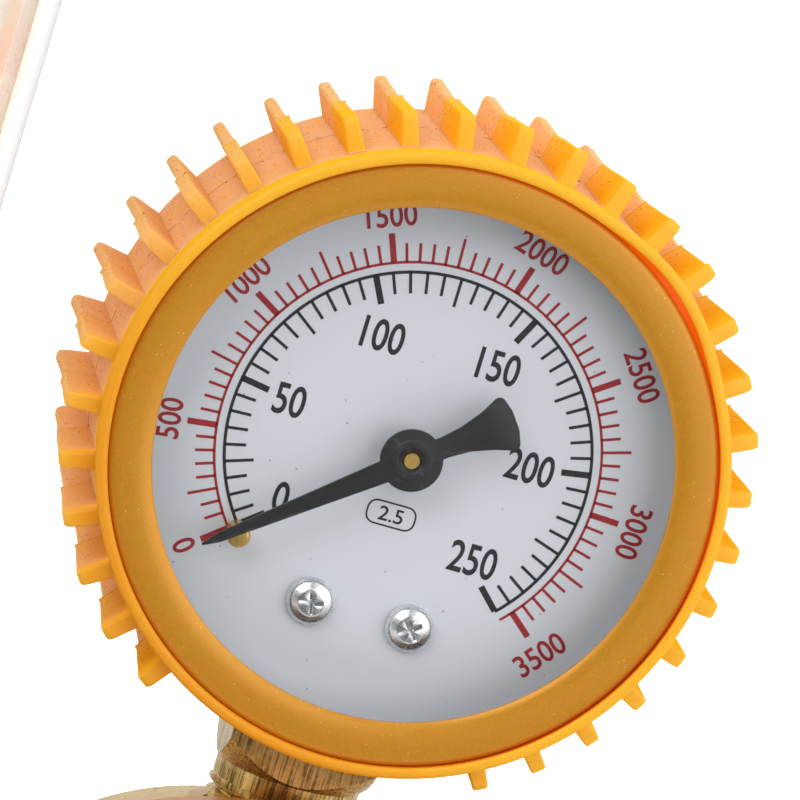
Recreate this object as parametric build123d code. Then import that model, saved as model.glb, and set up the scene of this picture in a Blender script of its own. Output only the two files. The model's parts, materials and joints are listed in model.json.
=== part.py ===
"""Argon flowmeter regulator: high-pressure gauge in a finned rubber boot, brass regulator, flowmeter and inlet.

Dimensions are in millimetres. X runs from the hose side towards the cylinder, Y runs to the back and Z is up.
The origin is the tip of the inlet nipple, on the axis of the inlet. Parts are first drawn about the crossing of
the drum's axis and the gauge stem's axis, and the gauge's own parts about the centre of its dial face.
"""

from build123d import *
import os
from math import cos, radians, sin

# Places of the sub-assemblies, from the crossing of the drum's axis and the stem's axis
inlet_reach = 70.0
dial_y = -13.9
valve_z = -8.0

# Regulator body and bonnet
bonnet_radius = 31.0
bonnet_shoulder = 22.7
bonnet_front = 34.0
drum_radius = bonnet_radius - 4.0
drum_front = 8.7
drum_back = -12.2
rear_radius = drum_radius - 7.0
rear_face = -17.0
spigot_radius = drum_radius - 2.0
spigot_front = 13.0
chamber_radius = spigot_radius - 5.5
chamber_floor = 10.0
passage_place = chamber_radius - 3.5
cavity_rim_radius = 0.87 * chamber_radius
cavity_low_radius = 0.667 * chamber_radius
cavity_high_radius = 0.564 * chamber_radius
plate_radius = 0.615 * chamber_radius
plate_boss_radius = 0.25 * chamber_radius
button_radius = 0.51 * chamber_radius
spring_radius = 0.37 * chamber_radius
spring_top = 26.0
diaphragm_thickness = 0.6
valve_bore_radius = 4.06
nozzle_back = 3.0
boss_radius = 8.6
port_face = drum_radius + 0.4
inlet_face = drum_radius + 5.0
outlet_face = -drum_radius - 3.0
relief_face = -drum_radius - 1.5

# Gauge case, bezel and boot
gauge_z = port_face + 38.6
case_radius = 26.2
case_wall = 0.8
case_front = 3.0
case_back = -20.4
bezel_radius = case_radius + 1.2
bezel_opening = case_radius - 2.9
bezel_front = 6.4
bezel_back = -2.0
lens_radius = case_radius - 0.2
lens_back = 4.1
lens_front = 5.6
dial_radius = case_radius - 1.2
dial_thickness = 0.5
stretch_gap = 0.05
boot_wall = 0.9
boot_radius = bezel_radius + boot_wall
boot_front = 6.96
boot_back = case_back - 2.1
boot_step = -7.4
fin_count = 31
fin_pitch = 9.98
fin_first = -62.4
fin_drift = 2.5
fin_drift_place = 98.0
fin_height = 3.05
stem_notch = 8.0

# Gauge stem and socket
stem_square = 14.0
stem_thread_radius = 7.0
stem_neck_radius = 6.8
stem_end = port_face - 10.2
stem_shoulder = port_face + 4.8
stem_cone_top = stem_shoulder + 3.1
stem_top = gauge_z - case_radius
block_front_z = -8.5
block_depth = block_front_z - case_back - case_wall
block_top = gauge_z - 7.0
stem_bore_radius = 1.25
dial_screw_x = 4.65
dial_screw_y = -15.2
dial_screw_depth = 4.2
case_screw_depth = 4.4
plate_screw_depth = 2.5

# Gauge movement
back_plate_front = -7.5
front_plate_back = -3.0
plate_thickness = 1.0
pivot_length = 0.8
pinion_back = back_plate_front + 0.9
pinion_front = pinion_back + 1.6
sector_back = back_plate_front + 1.3
sector_front = sector_back + 0.8
link_front = sector_back - 0.05
link_back = link_front - 0.6
hairspring_back = front_plate_back - 1.4
arbor_radius = 0.7
pivot_radius = 0.5
bearing_gap = 0.05
pinion_pitch_radius = 1.25
sector_pitch_radius = 12.5
sector_direction = -45.0
tube_radius = 19.6
tube_end_angle = -22.0
tube_root_angle = 254.6
tail_angle = -20.0
tail_length = 4.5
link_dx = 2.95
link_dy = 1.36

# Pointer
pointer_angle = 218.0
pointer_length = 20.1
pointer_back = 2.75
pointer_front = 3.2
hub_radius = 2.85
peg_x = -12.8
peg_y = -10.9
peg_height = 2.6

# Inlet nipple and nut
nipple_radius = 6.0
inlet_nut_hex = 28.6
inlet_nut_back = inlet_face + 4.4
inlet_nut_front = inlet_reach - 9.0
inlet_nut_step = inlet_nut_back + 0.553 * (inlet_nut_front - inlet_nut_back)
inlet_nut_radius = 12.2

# Flowmeter
base_radius = 17.0
flow_x = outlet_face - 8.2 - base_radius
base_bottom = -20.0
base_top = 14.0
cover_radius = base_radius - 2.0
cover_wall = 2.0
cover_bottom = 9.2
cover_top = 112.0
spacer_top = cover_top + 0.6
spacer_radius = cover_radius - 2.4
flow_tube_radius = 6.0
flow_tube_bottom = 3.0
flow_tube_top = cover_top - 8.0
taper_low_radius = 2.6
taper_high_radius = 3.3
ball_radius = 2.5
ball_rest = 18.5
ball_travel = 66.0
cap_bottom = cover_top - 6.0
cap_top = cover_top + 8.0
valve_opening = 1.5
gland_face = base_radius + 4.0
knob_radius = 15.0
knob_back = gland_face + 2.0
knob_front = knob_back + 15.0
outlet_thread_radius = 7.9
adapter_end = -37.0
outlet_nut_bottom = -45.0
barb_end = -66.0

os.makedirs("parts", exist_ok=True)
row_shift = Pos(-inlet_reach, 0, 0)
gauge_place = row_shift * Pos(0, dial_y, gauge_z) * Rot(90, 0, 0)
front_place = row_shift * Rot(90, 0, 0)
body_place = row_shift
inlet_place = row_shift * Rot(0, 90, 0)
flow_place = row_shift * Pos(flow_x, 0, 0)
valve_place = row_shift * Pos(flow_x, 0, valve_z) * Rot(90, 0, 0)


# Helpers

def turned(points, rounds=()):
    """Solid of revolution about Z from (radius, height) points, with some of the corners rounded."""
    outline = make_face(Polyline(*points, close=True))
    for index, radius in rounds:
        corner = outline.vertices().sort_by_distance((points[index][0], points[index][1], 0))[0]
        outline = fillet(corner, radius)
    return revolve(Plane.XZ * outline, axis=Axis.Z)


def ring(outer, inner, low, high):
    """Plain ring between two heights."""
    return turned([(inner, low), (outer, low), (outer, high), (inner, high)])


def rod(radius, low, high, x=0.0, y=0.0):
    """Upright cylinder between two heights."""
    return Pos(x, y, (low + high) / 2) * Cylinder(radius, high - low)


def slab(x_low, x_high, y_low, y_high, z_low, z_high):
    """Box between two corners."""
    middle = Pos((x_low + x_high) / 2, (y_low + y_high) / 2, (z_low + z_high) / 2)
    return middle * Box(x_high - x_low, y_high - y_low, z_high - z_low)


def hexagon(across, low, high):
    """Hexagonal prism between two heights."""
    return extrude(Pos(0, 0, low) * RegularPolygon(across / 2, 6, major_radius=False), amount=high - low)


def bar_x(radius, x_low, x_high, y=0.0, z=0.0):
    """Cylinder along X."""
    return Pos((x_low + x_high) / 2, y, z) * Rot(0, 90, 0) * Cylinder(radius, x_high - x_low)


def plate(points, low, high):
    """Flat plate from corner points."""
    return extrude(Pos(0, 0, low) * make_face(Polyline(*points, close=True)), amount=high - low)


def at_angle(radius, angle):
    """Point on a circle in the plane of the dial."""
    return (radius * cos(radians(angle)), radius * sin(radians(angle)))


def coil(radius, wire, low, high, turns):
    """Compression spring, its wire lying between two heights."""
    span = high - low - 2 * wire
    path = Pos(0, 0, low + wire) * Helix(pitch=span / turns, height=span, radius=radius)
    return sweep(Plane(origin=path @ 0, z_dir=path % 0) * Circle(wire), path=path)


# Gauge boot

def boot_fin():
    """One fin of the boot, pointing along X, thicker in front of the moulding line than behind it."""
    reach = boot_radius + fin_height
    low = boot_back + 1.2
    high = boot_front - 1.4
    side = plate([(boot_radius - 0.5, high), (boot_radius - 0.1, high), (reach - 1.7, high - 1.1),
                  (reach - 0.7, high - 2.5), (reach - 0.1, high - 4.6), (reach, boot_step),
                  (reach - 0.3, low + 2.0), (reach - 1.0, low + 0.6), (boot_radius, low),
                  (boot_radius - 0.5, low)], -1.5, 1.5)
    side = Rot(90, 0, 0) * side
    root = boot_radius - 0.6
    tip = reach + 0.1
    front = plate([(root, -0.93), (tip, -0.70), (tip, 0.70), (root, 0.93)], boot_step, boot_front)
    back = plate([(root, -0.83), (tip, -0.60), (tip, 0.60), (root, 0.83)], boot_back, boot_step)
    return side & (front + back)


def fin_angle(index):
    """Direction of a fin, as the stretched rubber draws the upper fins a little together."""
    even = fin_first + fin_pitch * index
    return even - fin_drift * sin(radians(even - fin_drift_place))


def gauge_boot():
    """Rubber boot stretched over the case and the bezel, open at the bottom for the stem."""
    inside_case = case_radius + stretch_gap
    inside_bezel = bezel_radius + 0.1
    flange = case_radius - 4.0
    sleeve = turned([(bezel_radius - 0.15, 6.2), (bezel_radius - 0.15, boot_front), (boot_radius, boot_front),
                     (boot_radius, boot_back), (flange, boot_back), (flange, case_back - 0.1),
                     (inside_case, case_back - 0.1), (inside_case, bezel_back - 0.1),
                     (inside_bezel, bezel_back - 0.1), (inside_bezel, 6.2)],
                    [(1, 0.3), (2, 0.6), (3, 0.8)])
    fin = boot_fin()
    fins = [Rot(0, 0, fin_angle(index)) * fin for index in range(fin_count)]
    notch = slab(-stem_notch, stem_notch, -boot_radius - 4, 6 - case_radius, boot_back - 1, -5.9)
    return (sleeve + fins) - notch


# Gauge case

def gauge_case():
    """Pressed steel cup with an opening for the socket block and holes for screws and plug."""
    inside = case_radius - case_wall
    floor = case_back + case_wall
    cup = turned([(0, case_back), (case_radius, case_back), (case_radius, case_front), (inside, case_front),
                  (inside, floor), (0, floor)], [(1, 0.6)])
    cup -= slab(-7.2, 7.2, -case_radius - 4, 3 - case_radius, floor, block_front_z + 0.2)
    cup -= rod(4.0, case_back - 1, floor + 1, 0, 10)
    for x in (-4.5, 4.5):
        cup -= rod(1.3, case_back - 1, floor + 1, x, -16)
    return cup


def gauge_bezel():
    """Painted ring that holds the lens on the case."""
    skirt = case_radius + stretch_gap
    return turned([(bezel_opening, lens_front), (bezel_opening, bezel_front), (bezel_radius, bezel_front),
                   (bezel_radius, bezel_back), (skirt, bezel_back), (skirt, lens_front)],
                  [(1, 0.45), (2, 0.9)])


def gauge_dial():
    """Flat dial with holes for the arbor, its two screws and the zero peg."""
    dial = rod(dial_radius, -dial_thickness, 0)
    dial -= rod(1.6, -1, 1)
    for x in (-dial_screw_x, dial_screw_x):
        dial -= rod(1.1, -1, 1, x, dial_screw_y)
    return dial - rod(0.62, -1, 1, peg_x, peg_y)


def dial_screws():
    """Two pan-head cross-recess screws that hold the dial to the posts of the socket block."""
    head = turned([(0, 0), (2.2, 0), (2.2, 0.55), (1.5, 1.25), (0, 1.45)])
    for angle in (0, 90):
        head -= Rot(0, 0, angle + 20) * slab(-1.2, 1.2, -0.22, 0.22, 0.55, 2.0)
    screw = head + rod(0.95, -dial_screw_depth, 0)
    return Compound([Pos(x, dial_screw_y, 0) * screw for x in (-dial_screw_x, dial_screw_x)])


def pointer_stop():
    """Zero peg riveted through the dial."""
    return rod(1.05, 0, peg_height, peg_x, peg_y) + rod(0.6, -1.1, 0, peg_x, peg_y)


# Socket with its square stem

def gauge_socket():
    """Forged socket: square stem, turned cone, neck and thread, and the block inside the case."""
    half = stem_square / 2
    groove = stem_shoulder - 2.3
    square = slab(-half, half, -half, half, stem_shoulder - 0.5, stem_top)
    cone = turned([(0, stem_shoulder - 0.6), (stem_neck_radius, stem_shoulder - 0.6),
                   (stem_neck_radius, stem_shoulder), (stem_neck_radius + 3.3, stem_cone_top),
                   (stem_neck_radius + 3.3, stem_top + 1), (0, stem_top + 1)])
    shank = turned([(0, stem_end), (stem_thread_radius - 0.9, stem_end), (stem_thread_radius, stem_end + 0.9),
                    (stem_thread_radius, groove), (stem_neck_radius - 0.4, groove),
                    (stem_neck_radius - 0.4, groove + 0.6), (stem_neck_radius, groove + 0.6),
                    (stem_neck_radius, stem_shoulder), (0, stem_shoulder)])
    front = dial_y - block_front_z
    block = slab(-half, half, front, front + block_depth, stem_top - 1, block_top)
    socket = (square & cone) + shank + block
    for x in (-dial_screw_x, dial_screw_x):
        post = rod(2.2, block_front_z - 0.5, -dial_thickness, x, dial_screw_y)
        post -= rod(1.0, -dial_screw_depth - 0.8, 0, x, dial_screw_y)
        socket += Pos(0, dial_y, gauge_z) * Rot(90, 0, 0) * post
    for x in (-3.5, 3.5):
        hole = rod(0.8, block_front_z - plate_screw_depth - 0.2, block_front_z + 0.5, x, -9.6)
        socket -= Pos(0, dial_y, gauge_z) * Rot(90, 0, 0) * hole
    for x in (-4.5, 4.5):
        hole = rod(1.25, case_back + 0.4, case_back + case_screw_depth + 0.2, x, -16)
        socket -= Pos(0, dial_y, gauge_z) * Rot(90, 0, 0) * hole
    socket -= rod(stem_bore_radius, stem_end - 1, gauge_z - 18.3)
    socket -= rod(2.0, stem_end - 1, stem_end + 3.0)
    socket -= bar_x(0.9, -6.0, 0, 0, gauge_z - 18.3)
    return socket - Pos(0, dial_y, gauge_z) * Rot(90, 0, 0) * tube_sweep(False)


# Curved pressure tube

def tube_sweep(hollow):
    """Flattened tube bent in a circle about the axis of the dial."""
    section = RectangleRounded(2.0, 6.4, 0.9)
    if hollow:
        section -= RectangleRounded(1.2, 5.6, 0.5)
    section = Plane.XZ * Pos(tube_radius, dial_y) * section
    sweep_angle = tube_root_angle - tube_end_angle
    return Rot(0, 0, tube_end_angle) * revolve(section, axis=Axis.Z, revolution_arc=sweep_angle)


def pivot_point():
    """Centre of the sector gear."""
    return at_angle(pinion_pitch_radius + sector_pitch_radius, sector_direction)


def tail_point():
    """Pin on the sector's tail."""
    x, y = pivot_point()
    dx, dy = at_angle(tail_length, tail_angle)
    return (x + dx, y + dy)


def bourdon_tip():
    """Closed end of the tube, with a lug and a pin for the link."""
    section = Plane.XZ * Pos(tube_radius, dial_y) * RectangleRounded(2.6, 7.0, 0.6)
    end = Rot(0, 0, tube_end_angle - 10) * revolve(section, axis=Axis.Z, revolution_arc=10)
    tail_x, tail_y = tail_point()
    x, y = tail_x + link_dx, tail_y + link_dy
    lug = slab(x - 1.4, x + 1.4, y - 1.4, y + 1.4, -12.5, link_back - 0.05) & rod(tube_radius + 1.3, -14, 0)
    return end + lug + rod(0.45, link_back - 0.15, link_front + 0.35, x, y)


def link():
    """Bar between the tip and the tail of the sector."""
    x, y = tail_point()
    bar = rod(1.1, link_back, link_front, x, y) + rod(1.1, link_back, link_front, x + link_dx, y + link_dy)
    length = (link_dx ** 2 + link_dy ** 2) ** 0.5
    side_x, side_y = -link_dy / length * 0.8, link_dx / length * 0.8
    bar += plate([(x + side_x, y + side_y), (x + link_dx + side_x, y + link_dy + side_y),
                  (x + link_dx - side_x, y + link_dy - side_y), (x - side_x, y - side_y)], link_back, link_front)
    bar -= rod(0.5, link_back - 1, link_front + 1, x, y)
    return bar - rod(0.48, link_back - 1, link_front + 1, x + link_dx, y + link_dy)


# Movement

def rounded_plate(low, high):
    """Outline shared by both movement plates: a triangle of pillar places and the sector's pivot."""
    x, y = pivot_point()
    corners = [(-6.5, -9.5), (x, y), (10.5, 3.5), (-6.0, 5.0)]
    outline = plate(corners, low, high)
    for index, corner in enumerate(corners):
        ahead = corners[(index + 1) % len(corners)]
        dx, dy = ahead[0] - corner[0], ahead[1] - corner[1]
        reach = (dx ** 2 + dy ** 2) ** 0.5
        nx, ny = dy / reach * 2.4, -dx / reach * 2.4
        outline += rod(2.4, low, high, corner[0], corner[1])
        outline += plate([corner, ahead, (ahead[0] + nx, ahead[1] + ny), (corner[0] + nx, corner[1] + ny)],
                         low, high)
    return outline


pillar_places = [(-6.5, -9.5), (10.5, 3.5), (-6.0, 5.0)]


def movement_back_plate():
    """Back plate with its three riveted pillars."""
    back = rounded_plate(back_plate_front - plate_thickness, back_plate_front)
    for x, y in pillar_places:
        back += rod(1.2, back_plate_front, front_plate_back, x, y)
        back -= rod(0.5, front_plate_back - 2.2, front_plate_back, x, y)
    x, y = pivot_point()
    behind = back_plate_front - plate_thickness - 1
    ahead = back_plate_front + 0.5
    back -= rod(pivot_radius + bearing_gap, behind, ahead, 0, 0)
    back -= rod(pivot_radius + bearing_gap, behind, ahead, x, y)
    for screw_x in (-3.5, 3.5):
        back -= rod(0.8, behind, ahead, screw_x, -9.6)
    return back


def movement_front_plate():
    """Front plate with the stud that holds the outer end of the hairspring."""
    front = rounded_plate(front_plate_back, front_plate_back + plate_thickness)
    behind = front_plate_back - 1
    ahead = front_plate_back + plate_thickness + 1
    for x, y in pillar_places:
        front -= rod(0.6, behind, ahead, x, y)
    x, y = pivot_point()
    front -= rod(arbor_radius + bearing_gap, behind, ahead, 0, 0)
    front -= rod(pivot_radius + bearing_gap, behind, ahead, x, y)
    return front + rod(0.35, hairspring_back - 0.1, front_plate_back, 3.55, 0)


def movement_screws():
    """Three screws in the pillars and two that fix the back plate to the socket block."""
    face = front_plate_back + plate_thickness
    screws = []
    for x, y in pillar_places:
        head = rod(1.1, face, face + 0.7, x, y) - slab(x - 1.2, x + 1.2, y - 0.15, y + 0.15, face + 0.4, face + 1)
        screws.append(head + rod(0.48, front_plate_back - 2.0, face, x, y))
    for x in (-3.5, 3.5):
        head = rod(1.4, back_plate_front, back_plate_front + 0.7, x, -9.6)
        head -= slab(x - 1.5, x + 1.5, -9.8, -9.4, back_plate_front + 0.4, back_plate_front + 1)
        screws.append(head + rod(0.75, block_front_z - plate_screw_depth, back_plate_front, x, -9.6))
    return Compound(screws)


def tooth(root, pitch, tip, half_root, half_pitch, half_tip, angle, low, high):
    """One straight-sided gear tooth."""
    body = plate([(root, -half_root), (pitch, -half_pitch), (tip, -half_tip), (tip, half_tip),
                  (pitch, half_pitch), (root, half_root)], low, high)
    return Rot(0, 0, angle) * body


def pointer_arbor():
    """Arbor with its ten-tooth pinion."""
    shoulder = back_plate_front + 0.1
    arbor = rod(pivot_radius, back_plate_front - pivot_length, shoulder)
    arbor += rod(arbor_radius, shoulder, pointer_front + 0.1) + rod(0.93, pinion_back, pinion_front)
    for index in range(10):
        arbor += tooth(0.8, pinion_pitch_radius, 1.43, 0.22, 0.15, 0.08,
                       sector_direction + 18 + 36 * index, pinion_back, pinion_front)
    return arbor


def sector_gear():
    """Toothed sector on its own arbor, with a tail and a pin for the link."""
    low, high = sector_back, sector_front
    root = sector_pitch_radius - 0.35
    edge = [at_angle(root, angle) for angle in range(103, 141)]
    sector = plate([(0, 0)] + edge, low, high)
    sector -= plate([at_angle(4.2, 109), at_angle(10.4, 109), at_angle(10.4, 121.5), at_angle(10.4, 134),
                     at_angle(4.2, 134)], low - 1, high + 1)
    for index in range(-8, 2):
        sector += tooth(root - 0.2, sector_pitch_radius, sector_pitch_radius + 0.22, 0.2, 0.14, 0.08,
                        135 + 3.6 * index, low, high)
    sector += rod(1.7, back_plate_front + 0.5, front_plate_back - 0.6)
    sector += rod(pivot_radius, back_plate_front - pivot_length, front_plate_back + pivot_length)
    tail = slab(0, tail_length, -0.9, 0.9, low, high) + rod(1.0, low, high, tail_length, 0)
    tail += rod(0.45, link_back - 0.25, low, tail_length, 0)
    x, y = pivot_point()
    return Pos(x, y, 0) * (sector + Rot(0, 0, tail_angle) * tail)


def hairspring():
    """Flat spiral spring around the arbor."""
    turns = 3
    inner = [at_angle(0.95 + 2.2 * step / (turns * 12), 30.0 * step) for step in range(turns * 12 + 1)]
    outer = [at_angle(1.08 + 2.2 * step / (turns * 12), 30.0 * step) for step in range(turns * 12 + 1)]
    first = Spline(*inner)
    second = Spline(*outer)
    outline = make_face([first, Line(inner[-1], outer[-1]), second, Line(outer[0], inner[0])])
    return extrude(Pos(0, 0, hairspring_back) * outline, amount=0.8)


def pointer():
    """Moulded pointer: hub, tapering arm and fish-tail, on a collar that fits the arbor."""
    body = rod(hub_radius, pointer_back, pointer_front) + ring(1.8, arbor_radius, 0.8, pointer_front + 0.1)
    arm = plate([(1.5, -1.08), (hub_radius, -1.03), (18.9, -0.38), (pointer_length, -0.06),
                 (pointer_length, 0.06), (18.9, 0.38), (hub_radius, 1.03), (1.5, 1.08)],
                pointer_back, pointer_front)
    tail = make_face(Polyline((-1.5, -1.0), (-3.2, -0.95), (-5.4, -1.25), (-7.4, -1.85), (-9.35, -2.75),
                              (-9.9, -1.0), (-10.0, 0.6), (-9.6, 2.5), (-7.6, 1.75), (-5.4, 1.2),
                              (-3.2, 0.95), (-1.5, 1.0), close=True))
    for corner in ((-9.35, -2.75), (-9.6, 2.5)):
        tail = fillet(tail.vertices().sort_by_distance((corner[0], corner[1], 0))[0], 0.6)
    body += arm + extrude(Pos(0, 0, pointer_back) * tail, amount=pointer_front - pointer_back)
    return Rot(0, 0, pointer_angle) * (body - rod(arbor_radius, 0, 4))


# Small gauge parts

def case_screws():
    """Two screws from behind the case into the socket block."""
    screws = []
    for x in (-4.5, 4.5):
        head = rod(2.0, case_back - 1.2, case_back, x, -16)
        head -= slab(x - 2.1, x + 2.1, -16.25, -15.75, case_back - 1.5, case_back - 0.7)
        screws.append(head + rod(1.2, case_back, case_back + case_screw_depth, x, -16))
    return Compound(screws)


def blowout_plug():
    """Rubber plug in the back of the case."""
    floor = case_back + case_wall
    return rod(5.0, case_back - 0.6, case_back, 0, 10) + rod(3.98, case_back, floor, 0, 10) \
        + rod(4.6, floor, floor + 0.5, 0, 10)


# Regulator body

def regulator_body():
    """Forged brass body: drum, rear boss, front spigot, four bosses and the drilled passages."""
    drum = turned([(0, rear_face), (rear_radius, rear_face), (rear_radius, drum_back), (drum_radius, drum_back),
                   (drum_radius, drum_front), (spigot_radius, drum_front), (spigot_radius, spigot_front),
                   (0, spigot_front)], [(1, 2.0), (3, 1.5)])
    body = Rot(90, 0, 0) * drum
    sunk = drum_radius - 6.0
    body += rod(boss_radius, sunk, port_face)
    body += bar_x(boss_radius, sunk, inlet_face)
    body += bar_x(boss_radius, outlet_face, -sunk)
    body += rod(8.0, relief_face, -sunk)
    front = rod(chamber_radius, chamber_floor, spigot_front + 1)
    front += rod(5.05, nozzle_back, chamber_floor + 1)
    front += rod(valve_bore_radius, -10, nozzle_back + 1)
    front += rod(6.05, rear_face - 1, -9.0)
    front += rod(1.5, 0, chamber_floor + 1, -passage_place, 0)
    front += rod(1.5, 0, chamber_floor + 1, 0, -passage_place)
    body -= Rot(90, 0, 0) * front
    body -= rod(stem_thread_radius + 0.05, stem_end - 1.2, port_face + 1)
    body -= rod(1.5, 2, stem_end)
    body -= bar_x(6.65, inlet_face - 12, inlet_face + 1)
    body -= bar_x(1.8, 2, inlet_face - 11)
    body -= bar_x(6.55, outlet_face - 1, outlet_face + 10)
    body -= bar_x(1.8, outlet_face + 9, 1.5 - passage_place)
    body -= rod(5.05, relief_face - 1, relief_face + 8.5)
    return body - rod(1.5, relief_face + 7.5, 1.5 - passage_place)


def bonnet():
    """Painted bonnet screwed over the front spigot."""
    shoulder = spigot_front + diaphragm_thickness + 1.1
    return turned([(spigot_radius + 0.05, drum_front + 0.02), (bonnet_radius, drum_front + 0.02),
                   (bonnet_radius, bonnet_shoulder), (bonnet_radius - 4, bonnet_front - 4.5),
                   (bonnet_radius - 9, bonnet_front), (13.7, bonnet_front), (13.7, bonnet_front - 1.7),
                   (4.05, bonnet_front - 1.7), (4.05, spring_top + 2), (cavity_high_radius, spring_top + 2),
                   (cavity_low_radius, 17.6), (cavity_rim_radius, 17.6), (cavity_rim_radius, shoulder),
                   (spigot_radius + 0.05, shoulder)],
                  [(1, 0.8), (2, 4.0), (4, 3.0)])


def diaphragm():
    """Rubber diaphragm with one ripple's worth of slack left flat."""
    return ring(spigot_radius - 0.2, 3.05, spigot_front, spigot_front + diaphragm_thickness)


def diaphragm_plate():
    """Metal plate and button that the range spring pushes and that moves the valve."""
    low = spigot_front + diaphragm_thickness
    return turned([(0, spigot_front - 0.5), (3.0, spigot_front - 0.5), (3.0, low), (plate_radius, low),
                   (plate_radius, low + 1.4), (plate_boss_radius, low + 1.4), (plate_boss_radius, low + 2.6),
                   (0, low + 2.6)])


def range_spring():
    """Range spring on the diaphragm plate."""
    low = spigot_front + diaphragm_thickness + 1.4
    return coil(spring_radius, 0.9, low + 0.02, spring_top - 0.02, 4)


def spring_button():
    """Disc between the range spring and the preset screw."""
    return turned([(0, spring_top), (button_radius, spring_top), (button_radius, spring_top + 1.4),
                   (plate_boss_radius, spring_top + 1.9), (2.6, spring_top + 1.9), (0, spring_top + 1.0)])


def preset_screw():
    """Socket set screw that loads the range spring, set once at the works."""
    screw = turned([(0, spring_top + 1.05), (2.4, spring_top + 2), (4.0, spring_top + 2),
                    (4.0, bonnet_front - 2.0), (0, bonnet_front - 2.0)])
    return screw - hexagon(4.0, bonnet_front - 5.0, bonnet_front)


def preset_cap():
    """Snap-in cap over the preset screw."""
    low = bonnet_front - 1.68
    return turned([(0, low), (13.6, low), (13.6, bonnet_front), (12.9, bonnet_front + 0.6),
                   (0, bonnet_front + 0.6)])


def seat_nozzle():
    """Nozzle screwed into the middle of the chamber."""
    nozzle = turned([(1.4, nozzle_back), (2.2, nozzle_back), (2.6, nozzle_back + 0.5),
                     (5.0, nozzle_back + 0.5), (5.0, chamber_floor), (1.4, chamber_floor)])
    return nozzle + (hexagon(11.0, chamber_floor, chamber_floor + 1.2) - rod(1.4, 9, 13))


def valve_poppet():
    """Poppet sliding in the body's bore, its stem reaching the diaphragm button through the nozzle."""
    head = hexagon(6.9, -3.5, 1.0)
    return head + rod(0.9, 0, spigot_front - 0.6)


def poppet_seat():
    """Plastic seat disc on the poppet."""
    return ring(3.2, 0.9, 1.0, nozzle_back - 0.02)


def poppet_spring():
    """Closing spring behind the poppet."""
    return coil(2.4, 0.35, -9.98, -3.52, 5)


def rear_plug():
    """Hexagon plug that closes the valve chamber."""
    plug = rod(6.0, rear_face - 1, -10.0) + hexagon(17.0, rear_face - 5.0, rear_face - 1.0)
    return plug & turned([(0, rear_face - 5.0), (8.4, rear_face - 5.0), (9.9, rear_face - 4.2), (9.9, 0), (0, 0)])


def rear_seal():
    """Ring under the rear plug."""
    return ring(8.2, 6.1, rear_face - 1.0, rear_face)


# Relief valve under the drum

def relief_body():
    """Relief valve housing."""
    body = rod(5.0, relief_face, relief_face + 6.5) + hexagon(13.0, relief_face - 5.0, relief_face)
    body += rod(5.6, relief_face - 13.0, relief_face - 5.0)
    body -= rod(1.2, relief_face - 6.5, relief_face + 8.5)
    return body - rod(3.6, relief_face - 14.0, relief_face - 2.5)


def relief_poppet():
    """Relief poppet on its seat."""
    top = relief_face - 2.52
    return turned([(0, top - 3.0), (1.4, top - 3.0), (1.4, top - 1.6), (3.5, top - 1.6), (3.5, top - 0.6),
                   (2.4, top), (0, top)])


def relief_spring():
    """Spring that holds the relief poppet up."""
    return coil(2.6, 0.35, relief_face - 11.78, relief_face - 4.16, 5)


def relief_cap():
    """Cap of the relief valve, with a vent hole."""
    low = relief_face - 13.8
    cap = turned([(1.0, low), (7.2, low), (7.2, relief_face - 6.0), (5.65, relief_face - 6.0),
                  (5.65, relief_face - 13.05), (3.55, relief_face - 13.05), (3.55, relief_face - 11.8),
                  (1.0, relief_face - 11.8)], [(1, 0.8)])
    return cap


# Inlet

def inlet_nipple():
    """Nipple with a rounded nose, screwed into the body and carrying the nut."""
    inner = inlet_face - 11.0
    head = inlet_reach - 8.6
    return turned([(1.8, inner), (6.6, inner), (6.6, inlet_face), (10.6, inlet_face),
                   (10.6, inlet_face + 4.0), (nipple_radius, inlet_face + 4.0), (nipple_radius, head),
                   (9.0, head), (9.0, head + 2.8), (8.0, head + 5.0), (6.2, head + 7.2), (4.4, inlet_reach),
                   (3.3, inlet_reach), (3.3, head + 1.6), (1.8, head + 1.6)], [(9, 1.5), (10, 1.5)])


def inlet_nut():
    """Nut that spins on the nipple and pulls its nose into the cylinder valve."""
    nut = hexagon(inlet_nut_hex, inlet_nut_back, inlet_nut_step)
    nut = nut & turned([(0, inlet_nut_back), (14.6, inlet_nut_back), (16.6, inlet_nut_back + 1.2),
                        (16.6, inlet_nut_step - 1.2), (14.6, inlet_nut_step), (0, inlet_nut_step)])
    nut += turned([(0, inlet_nut_step - 1), (10.9, inlet_nut_step - 1), (10.9, inlet_nut_step + 1.6),
                   (inlet_nut_radius, inlet_nut_step + 2.4), (inlet_nut_radius, inlet_nut_front - 1.2),
                   (inlet_nut_radius - 1.2, inlet_nut_front), (0, inlet_nut_front)])
    return nut - rod(nipple_radius + 0.08, inlet_nut_back - 1, inlet_nut_front + 1)


def inlet_filter():
    """Sintered filter cup in the nose."""
    return rod(3.28, inlet_reach - 7, inlet_reach - 1.5) - rod(2.0, inlet_reach - 8, inlet_reach - 3)


# Flowmeter

def outlet_arm():
    """Connecting piece between the drum and the flowmeter."""
    joint = flow_x + base_radius
    arm = bar_x(6.5, outlet_face, outlet_face + 9.5) + bar_x(6.5, joint - 7.0, joint)
    middle = hexagon(17.0, 0, outlet_face - joint)
    arm += Pos(joint, 0, 0) * Rot(0, 90, 0) * middle
    return arm - bar_x(2.0, joint - 8, outlet_face + 10)


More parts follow.
